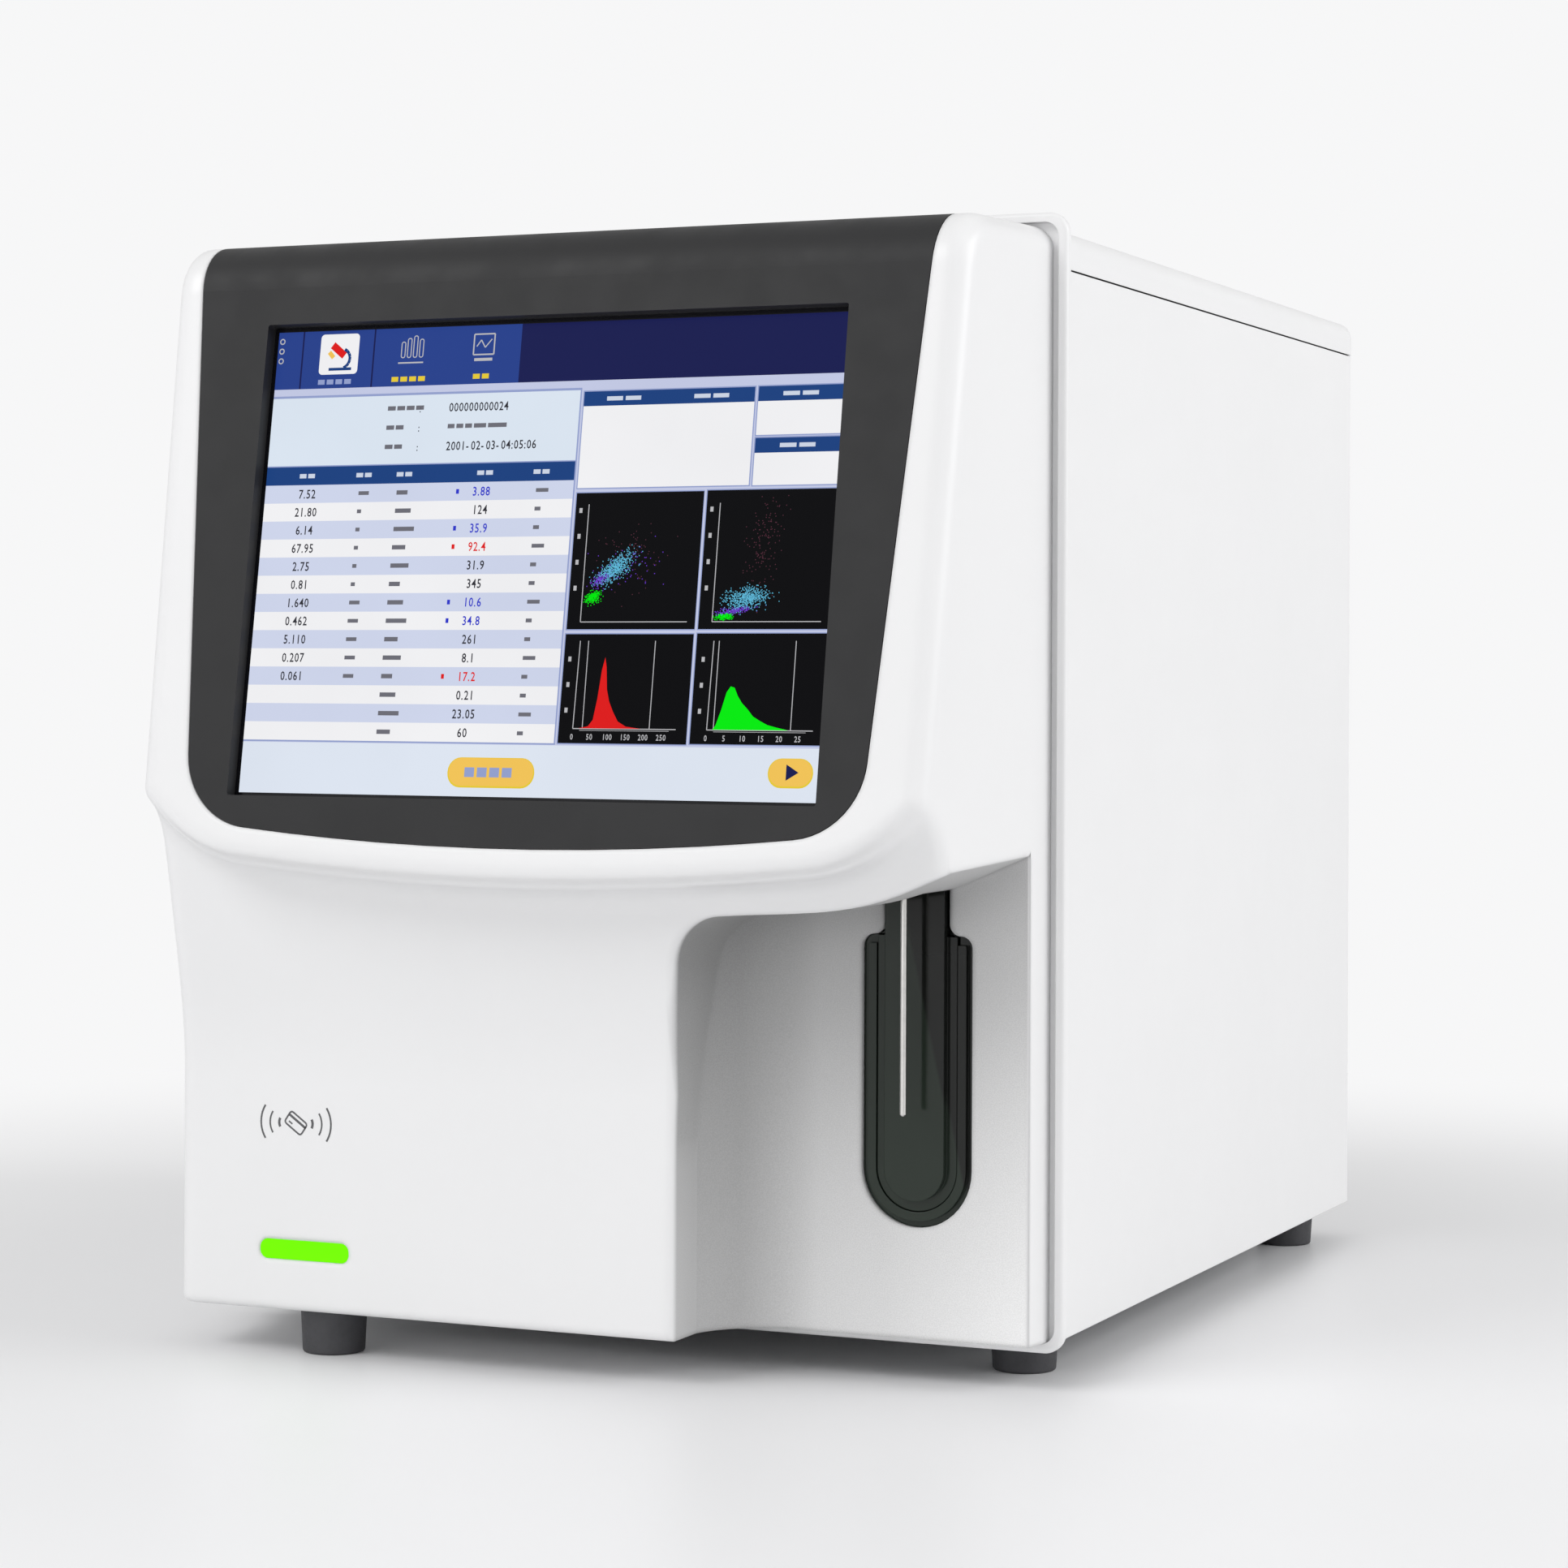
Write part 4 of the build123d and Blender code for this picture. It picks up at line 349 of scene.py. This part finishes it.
def arc(u, v, radius, start, end, steps):
    """Points along an arc about a middle, its ends in degrees."""
    turns = [math.radians(start + (end - start) * i / steps) for i in range(steps + 1)]
    return [(u + radius * math.cos(turn), v + radius * math.sin(turn)) for turn in turns]


def pill(u0, v0, u1, v1, radius, steps=6):
    """A rectangle with round corners."""
    outline = []
    corners = ((u1 - radius, v1 - radius, 0), (u0 + radius, v1 - radius, 90),
               (u0 + radius, v0 + radius, 180), (u1 - radius, v0 + radius, 270))
    for u, v, start in corners:
        outline += arc(u, v, radius, start, start + 90, steps)
    return outline


def stroke(points, width):
    """A line of that width through points, as one quad per stretch."""
    quads = []
    for (u0, v0), (u1, v1) in zip(points, points[1:]):
        long = math.hypot(u1 - u0, v1 - v0) or 1.0
        side_u = -(v1 - v0) / long * width / 2
        side_v = (u1 - u0) / long * width / 2
        quads.append([(u0 + side_u, v0 + side_v), (u0 - side_u, v0 - side_v),
                      (u1 - side_u, v1 - side_v), (u1 + side_u, v1 + side_v)])
    return quads


def ring(points, width):
    """A line of that width round an outline."""
    return stroke(points + points[:1], width)


def words(u, v, lengths, high=1.2, gap=0.9):
    """Short bars that stand for a line of print, from a point at its left end."""
    bars = []
    for long in lengths:
        bars.append(box(u, v - high / 2, u + long, v + high / 2))
        u += long + gap
    return bars


def flat_piece(name, outlines, place, look):
    """One mesh of flat outlines, each put in place point by point."""
    points = []
    faces = []
    for outline in outlines:
        faces.append(tuple(range(len(points), len(points) + len(outline))))
        points.extend(place(*point) for point in outline)
    mesh = bpy.data.meshes.new(name)
    mesh.from_pydata(points, [], faces)
    mesh.materials.append(look)
    mesh.update()
    made = bpy.data.objects.new(name, mesh)
    bpy.context.scene.collection.objects.link(made)
    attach(made, "chassis")
    return made


# Plain numbers. The signs' steps and the numbers' width are shares of their height.

SIGN_SWELL = 0.012
SIGN_STEP = 0.56
POINT_STEP = 0.3
NUMBER_WIDTH = 0.80


def signs():
    """The outlines of the ten digits and three marks, one unit high, with their steps."""
    made = {}
    for sign in "0123456789.-:":
        curve = bpy.data.curves.new("digit", "FONT")
        curve.body = sign
        curve.resolution_u = 2
        curve.offset = SIGN_SWELL
        text = bpy.data.objects.new("digit", curve)
        bpy.context.scene.collection.objects.link(text)
        bpy.context.view_layer.update()
        mesh = bpy.data.meshes.new_from_object(text)
        corners = [(vertex.co.x, vertex.co.y) for vertex in mesh.vertices]
        faces = [[corners[i] for i in face.vertices] for face in mesh.polygons]
        made[sign] = (faces, POINT_STEP if sign in ".:" else SIGN_STEP)
        bpy.data.objects.remove(text)
        bpy.data.meshes.remove(mesh)
        bpy.data.curves.remove(curve)
    return made


SIGNS = signs()


def number(text, u, v, size, anchor=0.5):
    """The faces of a number on a foot line, a share of its width to the left of a point."""
    narrow = size * NUMBER_WIDTH
    start = u - sum(SIGNS[sign][1] for sign in text) * narrow * anchor
    faces = []
    for sign in text:
        outlines, wide = SIGNS[sign]
        faces += [[(start + x * narrow, v + y * size) for x, y in outline] for outline in outlines]
        start += wide * narrow
    return faces


# The picture on the display: flat pieces by layer and colour. Its points are millimetres from the
# display's lower left corner.

# The display's size, its lower middle point, which way is up it and which way it faces.
SCREEN_W = 211.2
SCREEN_H = 158.4
RAKE = math.radians(9.1)
SCREEN_FOOT = Vector((0.0, -228.118, 193.809))
SCREEN_UP = Vector((0.0, math.sin(RAKE), math.cos(RAKE)))
SCREEN_OUT = Vector((0.0, -math.cos(RAKE), math.sin(RAKE)))
FIRST_LIFT = 0.04
LAYER_LIFT = 0.03

COLOURS = {
    "lavender": (0.56, 0.60, 0.80), "navy": (0.010, 0.013, 0.085), "tab": (0.022, 0.055, 0.27),
    "white": (0.90, 0.90, 0.92), "panel": (0.72, 0.80, 0.90), "header": (0.012, 0.055, 0.22),
    "row": (0.63, 0.68, 0.85), "black": (0.003, 0.003, 0.004), "ink": (0.03, 0.03, 0.04),
    "blue": (0.03, 0.04, 0.60), "red": (0.75, 0.012, 0.012), "green": (0.0, 0.86, 0.004),
    "purple": (0.16, 0.05, 0.62), "cyan": (0.12, 0.50, 0.72), "axis": (0.50, 0.50, 0.52),
    "yellow": (0.90, 0.56, 0.10), "gold": (0.80, 0.60, 0.04), "strip": (0.74, 0.80, 0.90),
    "edge": (0.30, 0.36, 0.62), "dim": (0.10, 0.03, 0.05), "soft": (0.16, 0.16, 0.19),
    "pale": (0.62, 0.68, 0.80),
}

# The top bar's foot, the two lines between its icons, and the left column: its width, its sample's
# lines (height, label's bars and value), and the table's headings, rows and values.
BAR_FOOT = 138.4
BAR_LINES = ((9.6, 10.2), (37.4, 38.0))
COLUMN_W = 117.1
TABLE_TOP = 105.0
ROW_H = 6.22
SAMPLE_LINES = ((129.9, (3.0, 3.0, 3.0, 3.0), "000000000024"), (123.3, (3.0, 3.0), None),
                (116.7, (3.0, 3.0), "2001-02-03-04:05:06"))
HEADINGS = (13.0, 35.0, 50.5, 81.0, 102.0)
LEFT_VALUES = ("7.52", "21.80", "6.14", "67.95", "2.75", "0.81", "1.640", "0.462", "5.110",
               "0.207", "0.061")
LONG_UNITS = (0, 6, 7, 8, 9, 10)
RIGHT_VALUES = (("3.88", "blue"), ("124", "ink"), ("35.9", "blue"), ("92.4", "red"),
                ("31.9", "ink"), ("345", "ink"), ("10.6", "blue"), ("34.8", "blue"),
                ("261", "ink"), ("8.1", "ink"), ("17.2", "red"), ("0.21", "ink"),
                ("23.05", "ink"), ("60", "ink"))

# The white panels with their headings' bars, and the black plots: left, foot, width and height.
FLAGS = ((118.6, 102.3, 180.0, 134.6, (127.0, 158.5)), (181.3, 118.7, SCREEN_W, 134.7, (190.0,)),
         (181.3, 102.2, SCREEN_W, 117.7, (190.0,)))
PLOTS = ((118.6, 55.4, 45.9, 45.2), (165.7, 55.4, 45.5, 45.4),
         (118.5, 18.0, 45.9, 35.8), (165.6, 18.2, 45.6, 35.8))

# The scattered dots: their side, the part of a plot that they keep to, and each cluster's colour,
# count, middle, two spreads, turn and plot's left edge. Then the axes: left, foot, right and top.
DOT = 0.30
DOTS_ACROSS = (4.9, 44.0)
DOTS_UP = (57.9, 99.0)
CLUSTERS = (
    ("green", 260, (127.3, 66.0), (1.3, 0.9), 20, 118.6),
    ("purple", 160, (129.4, 71.6), (1.8, 0.9), 40, 118.6),
    ("cyan", 620, (134.6, 75.4), (3.6, 1.6), 36, 118.6),
    ("purple", 70, (140.0, 76.5), (6.5, 4.0), 25, 118.6),
    ("green", 240, (174.6, 59.4), (1.5, 0.5), 4, 165.7),
    ("purple", 200, (178.2, 61.4), (3.6, 0.5), 8, 165.7),
    ("cyan", 620, (182.0, 65.4), (3.8, 1.7), 8, 165.7),
    ("dim", 160, (187.0, 84.0), (3.0, 8.0), -10, 165.7),
    ("dim", 90, (141.0, 80.0), (5.0, 5.0), 30, 118.6),
)
SCATTER_AXES = ((123.4, 57.8, 161.6, 96.8), (170.5, 57.8, 208.4, 96.6))

# The two filled curves: points by how far across and the share of the height, then each curve's
# left edge, height, colour, upright lines, points and scale.
AXIS_FOOT = 22.8
HILL_FOOT = 22.9
HILL_TOP = 51.6
RED_HILL = ((1.6, 0.0), (5.0, 0.03), (6.6, 0.12), (7.7, 0.42), (8.6, 0.82), (9.5, 1.0),
            (10.2, 0.86), (10.9, 0.55), (12.0, 0.38), (13.6, 0.24), (15.6, 0.10), (18.6, 0.03),
            (24.0, 0.0))
GREEN_HILL = ((1.6, 0.0), (2.6, 0.10), (4.2, 0.45), (5.7, 0.86), (7.0, 1.0), (8.4, 0.97),
              (9.7, 0.78), (11.3, 0.62), (13.5, 0.47), (15.5, 0.31), (18.0, 0.21), (20.6, 0.12),
              (24.0, 0.06), (28.0, 0.0))
HILLS = ((124.0, 23.3, "red", (127.0, 151.0), RED_HILL, 50),
         (171.7, 14.0, "green", (173.6, 200.4), GREEN_HILL, 5))

PICTURE = {}


def draw(layer, colour, outlines):
    """Adds outlines to one colour of one layer of the picture."""
    PICTURE.setdefault((layer, colour), []).extend(outlines)


def draw_top():
    """The top bar with its three icons."""
    draw(1, "navy", [box(0, BAR_FOOT, SCREEN_W, SCREEN_H)])
    draw(2, "tab", [box(0, BAR_FOOT, 93.6, SCREEN_H)])
    draw(3, "navy", [box(left, BAR_FOOT, right, SCREEN_H) for left, right in BAR_LINES])
    draw(3, "white", [pill(16.8, 143.2, 31.8, 157.2, 1.4)])
    draw(4, "red", stroke([(21.6, 153.4), (26.4, 149.6)], 2.6))
    draw(4, "yellow", stroke([(20.4, 151.0), (22.2, 149.0)], 1.6))
    draw(4, "header", stroke(arc(25.2, 148.6, 3.4, -70, 70, 7), 1.1))
    draw(4, "header", stroke([(20.6, 145.0), (29.4, 145.0)], 1.0))
    for i in range(3):
        draw(3, "axis", stroke(arc(1.6, 155.2 - i * 3.4, 0.9, 90, 450, 8), 0.4))
    for i, high in enumerate((5.4, 6.6, 7.4, 6.2)):
        u = 48.4 + i * 2.3
        draw(3, "axis", ring(pill(u, 148.2, u + 1.4, 148.2 + high, 0.6, 3), 0.35))
    draw(3, "axis", stroke([(47.4, 146.4), (57.0, 146.4)], 0.5))
    draw(3, "axis", ring(box(75.9, 148.4, 83.6, 155.4), 0.5))
    draw(3, "axis", stroke([(77, 151.2), (78.6, 153.4), (80.2, 150.8), (82.6, 153.6)], 0.4))
    draw(3, "axis", [box(76.4, 146.2, 83.2, 147.2)])
    for colour, u, v, count in (("edge", 16.9, 140.6, 4), ("gold", 45.4, 140.8, 4),
                                ("gold", 76.4, 141.0, 2)):
        draw(3, colour, words(u, v, (2.6,) * count, 1.7, 0.8))


def draw_left():
    """The sample's panel and the table of results."""
    draw(1, "edge", [box(0, 17.4, COLUMN_W + 0.5, 136.0)])
    draw(2, "panel", [box(0, 111.7, COLUMN_W, 135.2)])
    for v, label, value in SAMPLE_LINES:
        draw(3, "soft", words(45.0, v + 0.9, label, 1.5, 0.6))
        draw(3, "ink", number(":", 57.6, v - 0.7, 3.6))
        if value:
            draw(3, "ink", number(value, 68.4, v - 0.7, 4.2, 0.0))
        else:
            draw(3, "soft", words(68.4, v + 0.9, (2.6, 2.6, 2.6, 4.6, 7.0), 1.5, 0.7))
    draw(2, "header", [box(0, TABLE_TOP, COLUMN_W, 111.3)])
    for u in HEADINGS:
        draw(3, "pale", words(u, 108.1, (2.6, 2.6), 1.5, 0.7))
    for row, (value, colour) in enumerate(RIGHT_VALUES):
        low = TABLE_TOP - (row + 1) * ROW_H
        middle = low + ROW_H / 2
        base = middle - 1.5
        draw(2, "white" if row % 2 else "row", [box(0, low, COLUMN_W, low + ROW_H)])
        if row < len(LEFT_VALUES):
            draw(3, "ink", number(LEFT_VALUES[row], 16.6, base, 4.3))
            draw(3, "soft", words(36.4, middle, (4.0 if row in LONG_UNITS else 1.6,), 1.3))
        draw(3, "soft", words(51.0, middle, (4.2 + (row * 7 % 5) * 0.9,), 1.5))
        draw(3, colour, number(value, 83.2, base, 4.3))
        if colour != "ink":
            draw(3, colour, words(73.6, middle, (1.1,), 1.6))
        draw(3, "soft", words(103.4, middle, (2.2 if row % 3 else 4.6,), 1.3))


def draw_flags():
    """The three white panels with blue headers."""
    for u0, v0, u1, v1, marks in FLAGS:
        draw(1, "edge", [box(u0 - 0.4, v0 - 0.4, min(u1 + 0.4, SCREEN_W), v1 + 0.4)])
        draw(2, "white", [box(u0, v0, u1, v1)])
        draw(3, "header", [box(u0, v1 - 4.9, u1, v1)])
        for u in marks:
            draw(4, "pale", words(u, v1 - 2.5, (5.8, 5.6), 1.4, 1.0))


def scattered(rng, count, middle, size, turn):
    """Points scattered about a middle, farther one way than the other."""
    cos, sin = math.cos(math.radians(turn)), math.sin(math.radians(turn))
    for _ in range(count):
        a, b = rng.gauss(0, size[0]), rng.gauss(0, size[1])
        yield middle[0] + a * cos - b * sin, middle[1] + a * sin + b * cos


def draw_scatter():
    """The two plots of scattered dots."""
    rng = random.Random(7)
    half = DOT / 2
    for colour, count, middle, size, turn, left in CLUSTERS:
        for u, v in scattered(rng, count, middle, size, turn):
            across = left + DOTS_ACROSS[0] < u < left + DOTS_ACROSS[1]
            if across and DOTS_UP[0] < v < DOTS_UP[1]:
                draw(4, colour, [box(u - half, v - half, u + half, v + half)])
    for left, foot, right, top in SCATTER_AXES:
        draw(3, "axis", stroke([(left, top), (left, foot), (right, foot)], 0.3))
        for i in range(4):
            draw(3, "axis", words(left - 3.4, top - 2 - i * 8.6, (1.1,), 1.6))


def draw_hills():
    """The two filled curves with their scales."""
    for left, height, colour, lines, profile, scale in HILLS:
        for (u0, share0), (u1, share1) in zip(profile, profile[1:]):
            v0, v1 = (HILL_FOOT + height * share for share in (share0, share1))
            draw(4, colour, [[(left + u0, HILL_FOOT), (left + u1, HILL_FOOT),
                              (left + u1, v1), (left + u0, v0)]])
        draw(3, "axis", stroke([(left, HILL_TOP), (left - 0.4, AXIS_FOOT),
                                (left + 36.4, AXIS_FOOT)], 0.3))
        for u in lines:
            draw(3, "axis", stroke([(u, HILL_TOP), (u, HILL_FOOT)], 0.28))
        for i in range(3):
            draw(3, "axis", words(left - 3.9, 45.6 - i * 8.4, (1.1,), 1.6))
        for i in range(6):
            draw(3, "axis", number(str(i * scale), left - 0.6 + i * 6.4, 19.2, 2.7))
        draw(3, "axis", stroke([(left + 2, 22.2), (left + 34, 22.2)], 0.15))


def draw_plots():
    """Two scatter plots over two filled curves, on black."""
    for u, v, wide, high in PLOTS:
        draw(1, "edge", [box(u - 0.35, v - 0.35, u + wide + 0.2, v + high + 0.35)])
        draw(2, "black", [box(u, v, min(u + wide, SCREEN_W), v + high)])
    draw_scatter()
    draw_hills()


def draw_bottom():
    """The strip at the bottom with its two buttons."""
    draw(1, "strip", [box(0, 0, SCREEN_W, 17.2)])
    draw(2, "gold", [pill(78.9, 2.9, 110.9, 12.9, 4.8)])
    draw(3, "yellow", [pill(79.3, 3.5, 110.5, 12.7, 4.5)])
    draw(4, "edge", words(85.2, 8.0, (3.6, 3.6, 3.6, 3.6), 3.2, 1.0))
    draw(2, "gold", [pill(193.6, 4.5, 209.2, 14.0, 4.6)])
    draw(3, "yellow", [pill(194.0, 5.1, 208.8, 13.8, 4.3)])
    draw(4, "navy", [[(199.9, 6.9), (204.2, 9.5), (199.9, 12.1)]])


def lit(name, colour):
    """A colour of the lit display, with a faint unevenness of its backlight."""
    made, tree, main = shader(name, scaled(colour, 0.01), 0.35)
    main.inputs["Specular IOR Level"].default_value = 0.03
    main.inputs["Emission Strength"].default_value = 0.97
    glow = shades(tree, noise(tree, 18.0), scaled(colour, 0.96), colour)
    tree.links.new(glow, main.inputs["Emission Color"])
    return made


def on_screen(u, v, lift):
    """A point of the display, a lift ahead of its glass."""
    return (SCREEN_FOOT + Vector((u - SCREEN_W / 2, 0, 0)) + SCREEN_UP * v + SCREEN_OUT * lift) * MM


def build_picture():
    """The picture's pieces, in layers a few hundredths of a millimetre apart."""
    looks = {name: lit("lit_" + name, colour) for name, colour in COLOURS.items()}
    for layer, colour in sorted(PICTURE):
        lift = FIRST_LIFT + LAYER_LIFT * layer
        flat_piece(f"display_{layer}_{colour}", PICTURE[layer, colour],
                   lambda u, v: on_screen(u, v, lift), looks[colour])


draw(0, "lavender", [box(0, 0, SCREEN_W, SCREEN_H)])
draw_top()
draw_left()
draw_flags()
draw_plots()
draw_bottom()
build_picture()


# The card symbol: its middle on the block's front, how far ahead of the surface its ink lies, and
# its arcs by radius, half angle and width.

CARD_X = -99.5
CARD_Z = 79.9
CARD_INK = 0.05
CARD_TILT = math.radians(-35)
CARD_ARCS = ((3.0, 30, 0.95), (6.6, 34, 0.62), (10.2, 34, 0.68))
ARC_MIDDLE = 3.6


def card_symbol():
    """The printed card symbol: a tilted card between three arcs on each side."""
    def turned(u, v):
        return (u * math.cos(CARD_TILT) - v * math.sin(CARD_TILT),
                u * math.sin(CARD_TILT) + v * math.cos(CARD_TILT))

    quads = ring([turned(*point) for point in pill(-3.9, -2.4, 3.9, 2.4, 0.9, 4)], 0.62)
    quads += stroke([turned(-3.9, 0.9), turned(3.9, 0.9)], 0.85)
    quads += stroke([turned(-2.6, -1.1), turned(-0.9, -1.1)], 0.55)
    for middle, side in ((ARC_MIDDLE, 0), (-ARC_MIDDLE, 180)):
        for radius, half, width in CARD_ARCS:
            quads += stroke(arc(middle, 0, radius, side - half, side + half, 10), width)
    mesh = NODES["front_housing"].data
    tree = BVHTree.FromPolygons([v.co for v in mesh.vertices], [p.vertices for p in mesh.polygons])

    def on_block(u, v):
        start = Vector(((CARD_X + u) * MM, -0.35, (CARD_Z + v) * MM))
        hit = tree.ray_cast(start, Vector((0, 1, 0)))
        return hit[0] + Vector((0, -CARD_INK * MM, 0))

    flat_piece("card_symbol", quads, on_block, LOOKS["grey_ink"])


card_symbol()


# The stage. The floor turns into the surround's own shade with the distance from its middle, for
# the camera alone.

SURROUND = (0.93, 0.93, 0.935)
SURROUND_LIGHT = 0.62
FLOOR_REACH = 30.0
FLOOR_FADE = (0.28, 0.85)

# The lights: name, place, aim, size and watts.
LIGHTS = (
    ("key", (-1.4, -2.2, 2.2), (0, -0.1, 0.2), (1.8, 1.4), 35.5),
    ("side", (2.6, 0.25, 1.4), (0, 0, 0.2), (1.6, 1.6), 36.0),
    ("front", (-0.5, -2.8, 0.5), (0, -0.2, 0.15), (2.2, 0.7), 9.0),
)

# The photograph's side, focal length and downward shift in its pixels, the sensor in millimetres,
# and the camera's place in metres, turn and roll.
PHOTO_SIDE = 1932.0
FOCAL = 4605.0
SHIFT = 136.0
SENSOR = 36.0
CAMERA_PLACE = (0.564028, -1.306404, 0.2344)
CAMERA_TURN = math.radians(23.55)
CAMERA_ROLL = 0.0042


def pale_floor():
    """A plain pale floor that keeps the shadow near the object."""
    mesh = bpy.data.meshes.new("floor")
    corners = box(-FLOOR_REACH, -FLOOR_REACH, FLOOR_REACH, FLOOR_REACH)
    mesh.from_pydata([(x, y, 0) for x, y in corners], [], [(0, 1, 2, 3)])
    floor = bpy.data.objects.new("floor", mesh)
    bpy.context.scene.collection.objects.link(floor)
    look, tree, main = shader("floor", (0.86, 0.86, 0.87), 0.4)
    tint = shades(tree, noise(tree, 3.0), (0.85, 0.85, 0.86), (0.87, 0.87, 0.88))
    tree.links.new(tint, main.inputs["Base Color"])
    place = tree.nodes.new("ShaderNodeTexCoord")
    reach = tree.nodes.new("ShaderNodeVectorMath")
    reach.operation = "LENGTH"
    tree.links.new(place.outputs["Object"], reach.inputs[0])
    away = tree.nodes.new("ShaderNodeMapRange")
    away.interpolation_type = "SMOOTHSTEP"
    away.inputs["From Min"].default_value, away.inputs["From Max"].default_value = FLOOR_FADE
    tree.links.new(reach.outputs["Value"], away.inputs["Value"])
    seen = tree.nodes.new("ShaderNodeLightPath").outputs["Is Camera Ray"]
    share = product(tree, away.outputs["Result"], seen)
    white = tree.nodes.new("ShaderNodeEmission")
    white.inputs["Color"].default_value = (*SURROUND, 1.0)
    mixed = tree.nodes.new("ShaderNodeMixShader")
    tree.links.new(share, mixed.inputs["Fac"])
    tree.links.new(main.outputs["BSDF"], mixed.inputs[1])
    tree.links.new(white.outputs["Emission"], mixed.inputs[2])
    out = next(node for node in tree.nodes if node.type == "OUTPUT_MATERIAL")
    tree.links.new(mixed.outputs["Shader"], out.inputs["Surface"])
    mesh.materials.append(look)


def surround():
    """An even light from all round, and a pale shade behind the object for the camera."""
    world = bpy.data.worlds.new("surround")
    bpy.context.scene.world = world
    world.use_nodes = True
    nodes, links = world.node_tree.nodes, world.node_tree.links
    nodes.clear()
    out = nodes.new("ShaderNodeOutputWorld")
    mix = nodes.new("ShaderNodeMixShader")
    path = nodes.new("ShaderNodeLightPath")
    links.new(path.outputs["Is Camera Ray"], mix.inputs["Fac"])
    for place, colour, strength in ((1, (1.0, 1.0, 1.0), SURROUND_LIGHT), (2, SURROUND, 1.0)):
        shade = nodes.new("ShaderNodeBackground")
        shade.inputs["Color"].default_value = (*colour, 1.0)
        shade.inputs["Strength"].default_value = strength
        links.new(shade.outputs["Background"], mix.inputs[place])
    links.new(mix.outputs["Shader"], out.inputs["Surface"])


def area_light(name, place, aim, size, watts):
    """A soft rectangular light aimed at a point."""
    data = bpy.data.lights.new(name, "AREA")
    data.shape = "RECTANGLE"
    data.size, data.size_y = size
    data.energy = watts
    lamp = bpy.data.objects.new(name, data)
    lamp.location = place
    lamp.rotation_mode = "QUATERNION"
    lamp.rotation_quaternion = (Vector(aim) - Vector(place)).to_track_quat("-Z", "Y")
    bpy.context.scene.collection.objects.link(lamp)


def camera():
    """The camera at the photograph's angle: level, to the right of the front."""
    right = Vector((math.cos(CAMERA_TURN), math.sin(CAMERA_TURN), 0))
    back = Vector((math.sin(CAMERA_TURN), -math.cos(CAMERA_TURN), 0))
    up = Vector((0, 0, 1))
    axes = ((right + up * CAMERA_ROLL).normalized(), (up - right * CAMERA_ROLL).normalized(), back)
    data = bpy.data.cameras.new("camera")
    data.sensor_width = SENSOR
    data.lens = FOCAL / PHOTO_SIDE * SENSOR
    data.shift_y = -SHIFT / PHOTO_SIDE
    data.clip_end = 100.0
    made = bpy.data.objects.new("camera", data)
    made.matrix_world = Matrix.Translation(CAMERA_PLACE) @ Matrix(axes).transposed().to_4x4()
    bpy.context.scene.collection.objects.link(made)
    bpy.context.scene.camera = made


pale_floor()
surround()
for light in LIGHTS:
    area_light(*light)
camera()
bpy.context.scene.view_settings.view_transform = "Standard"
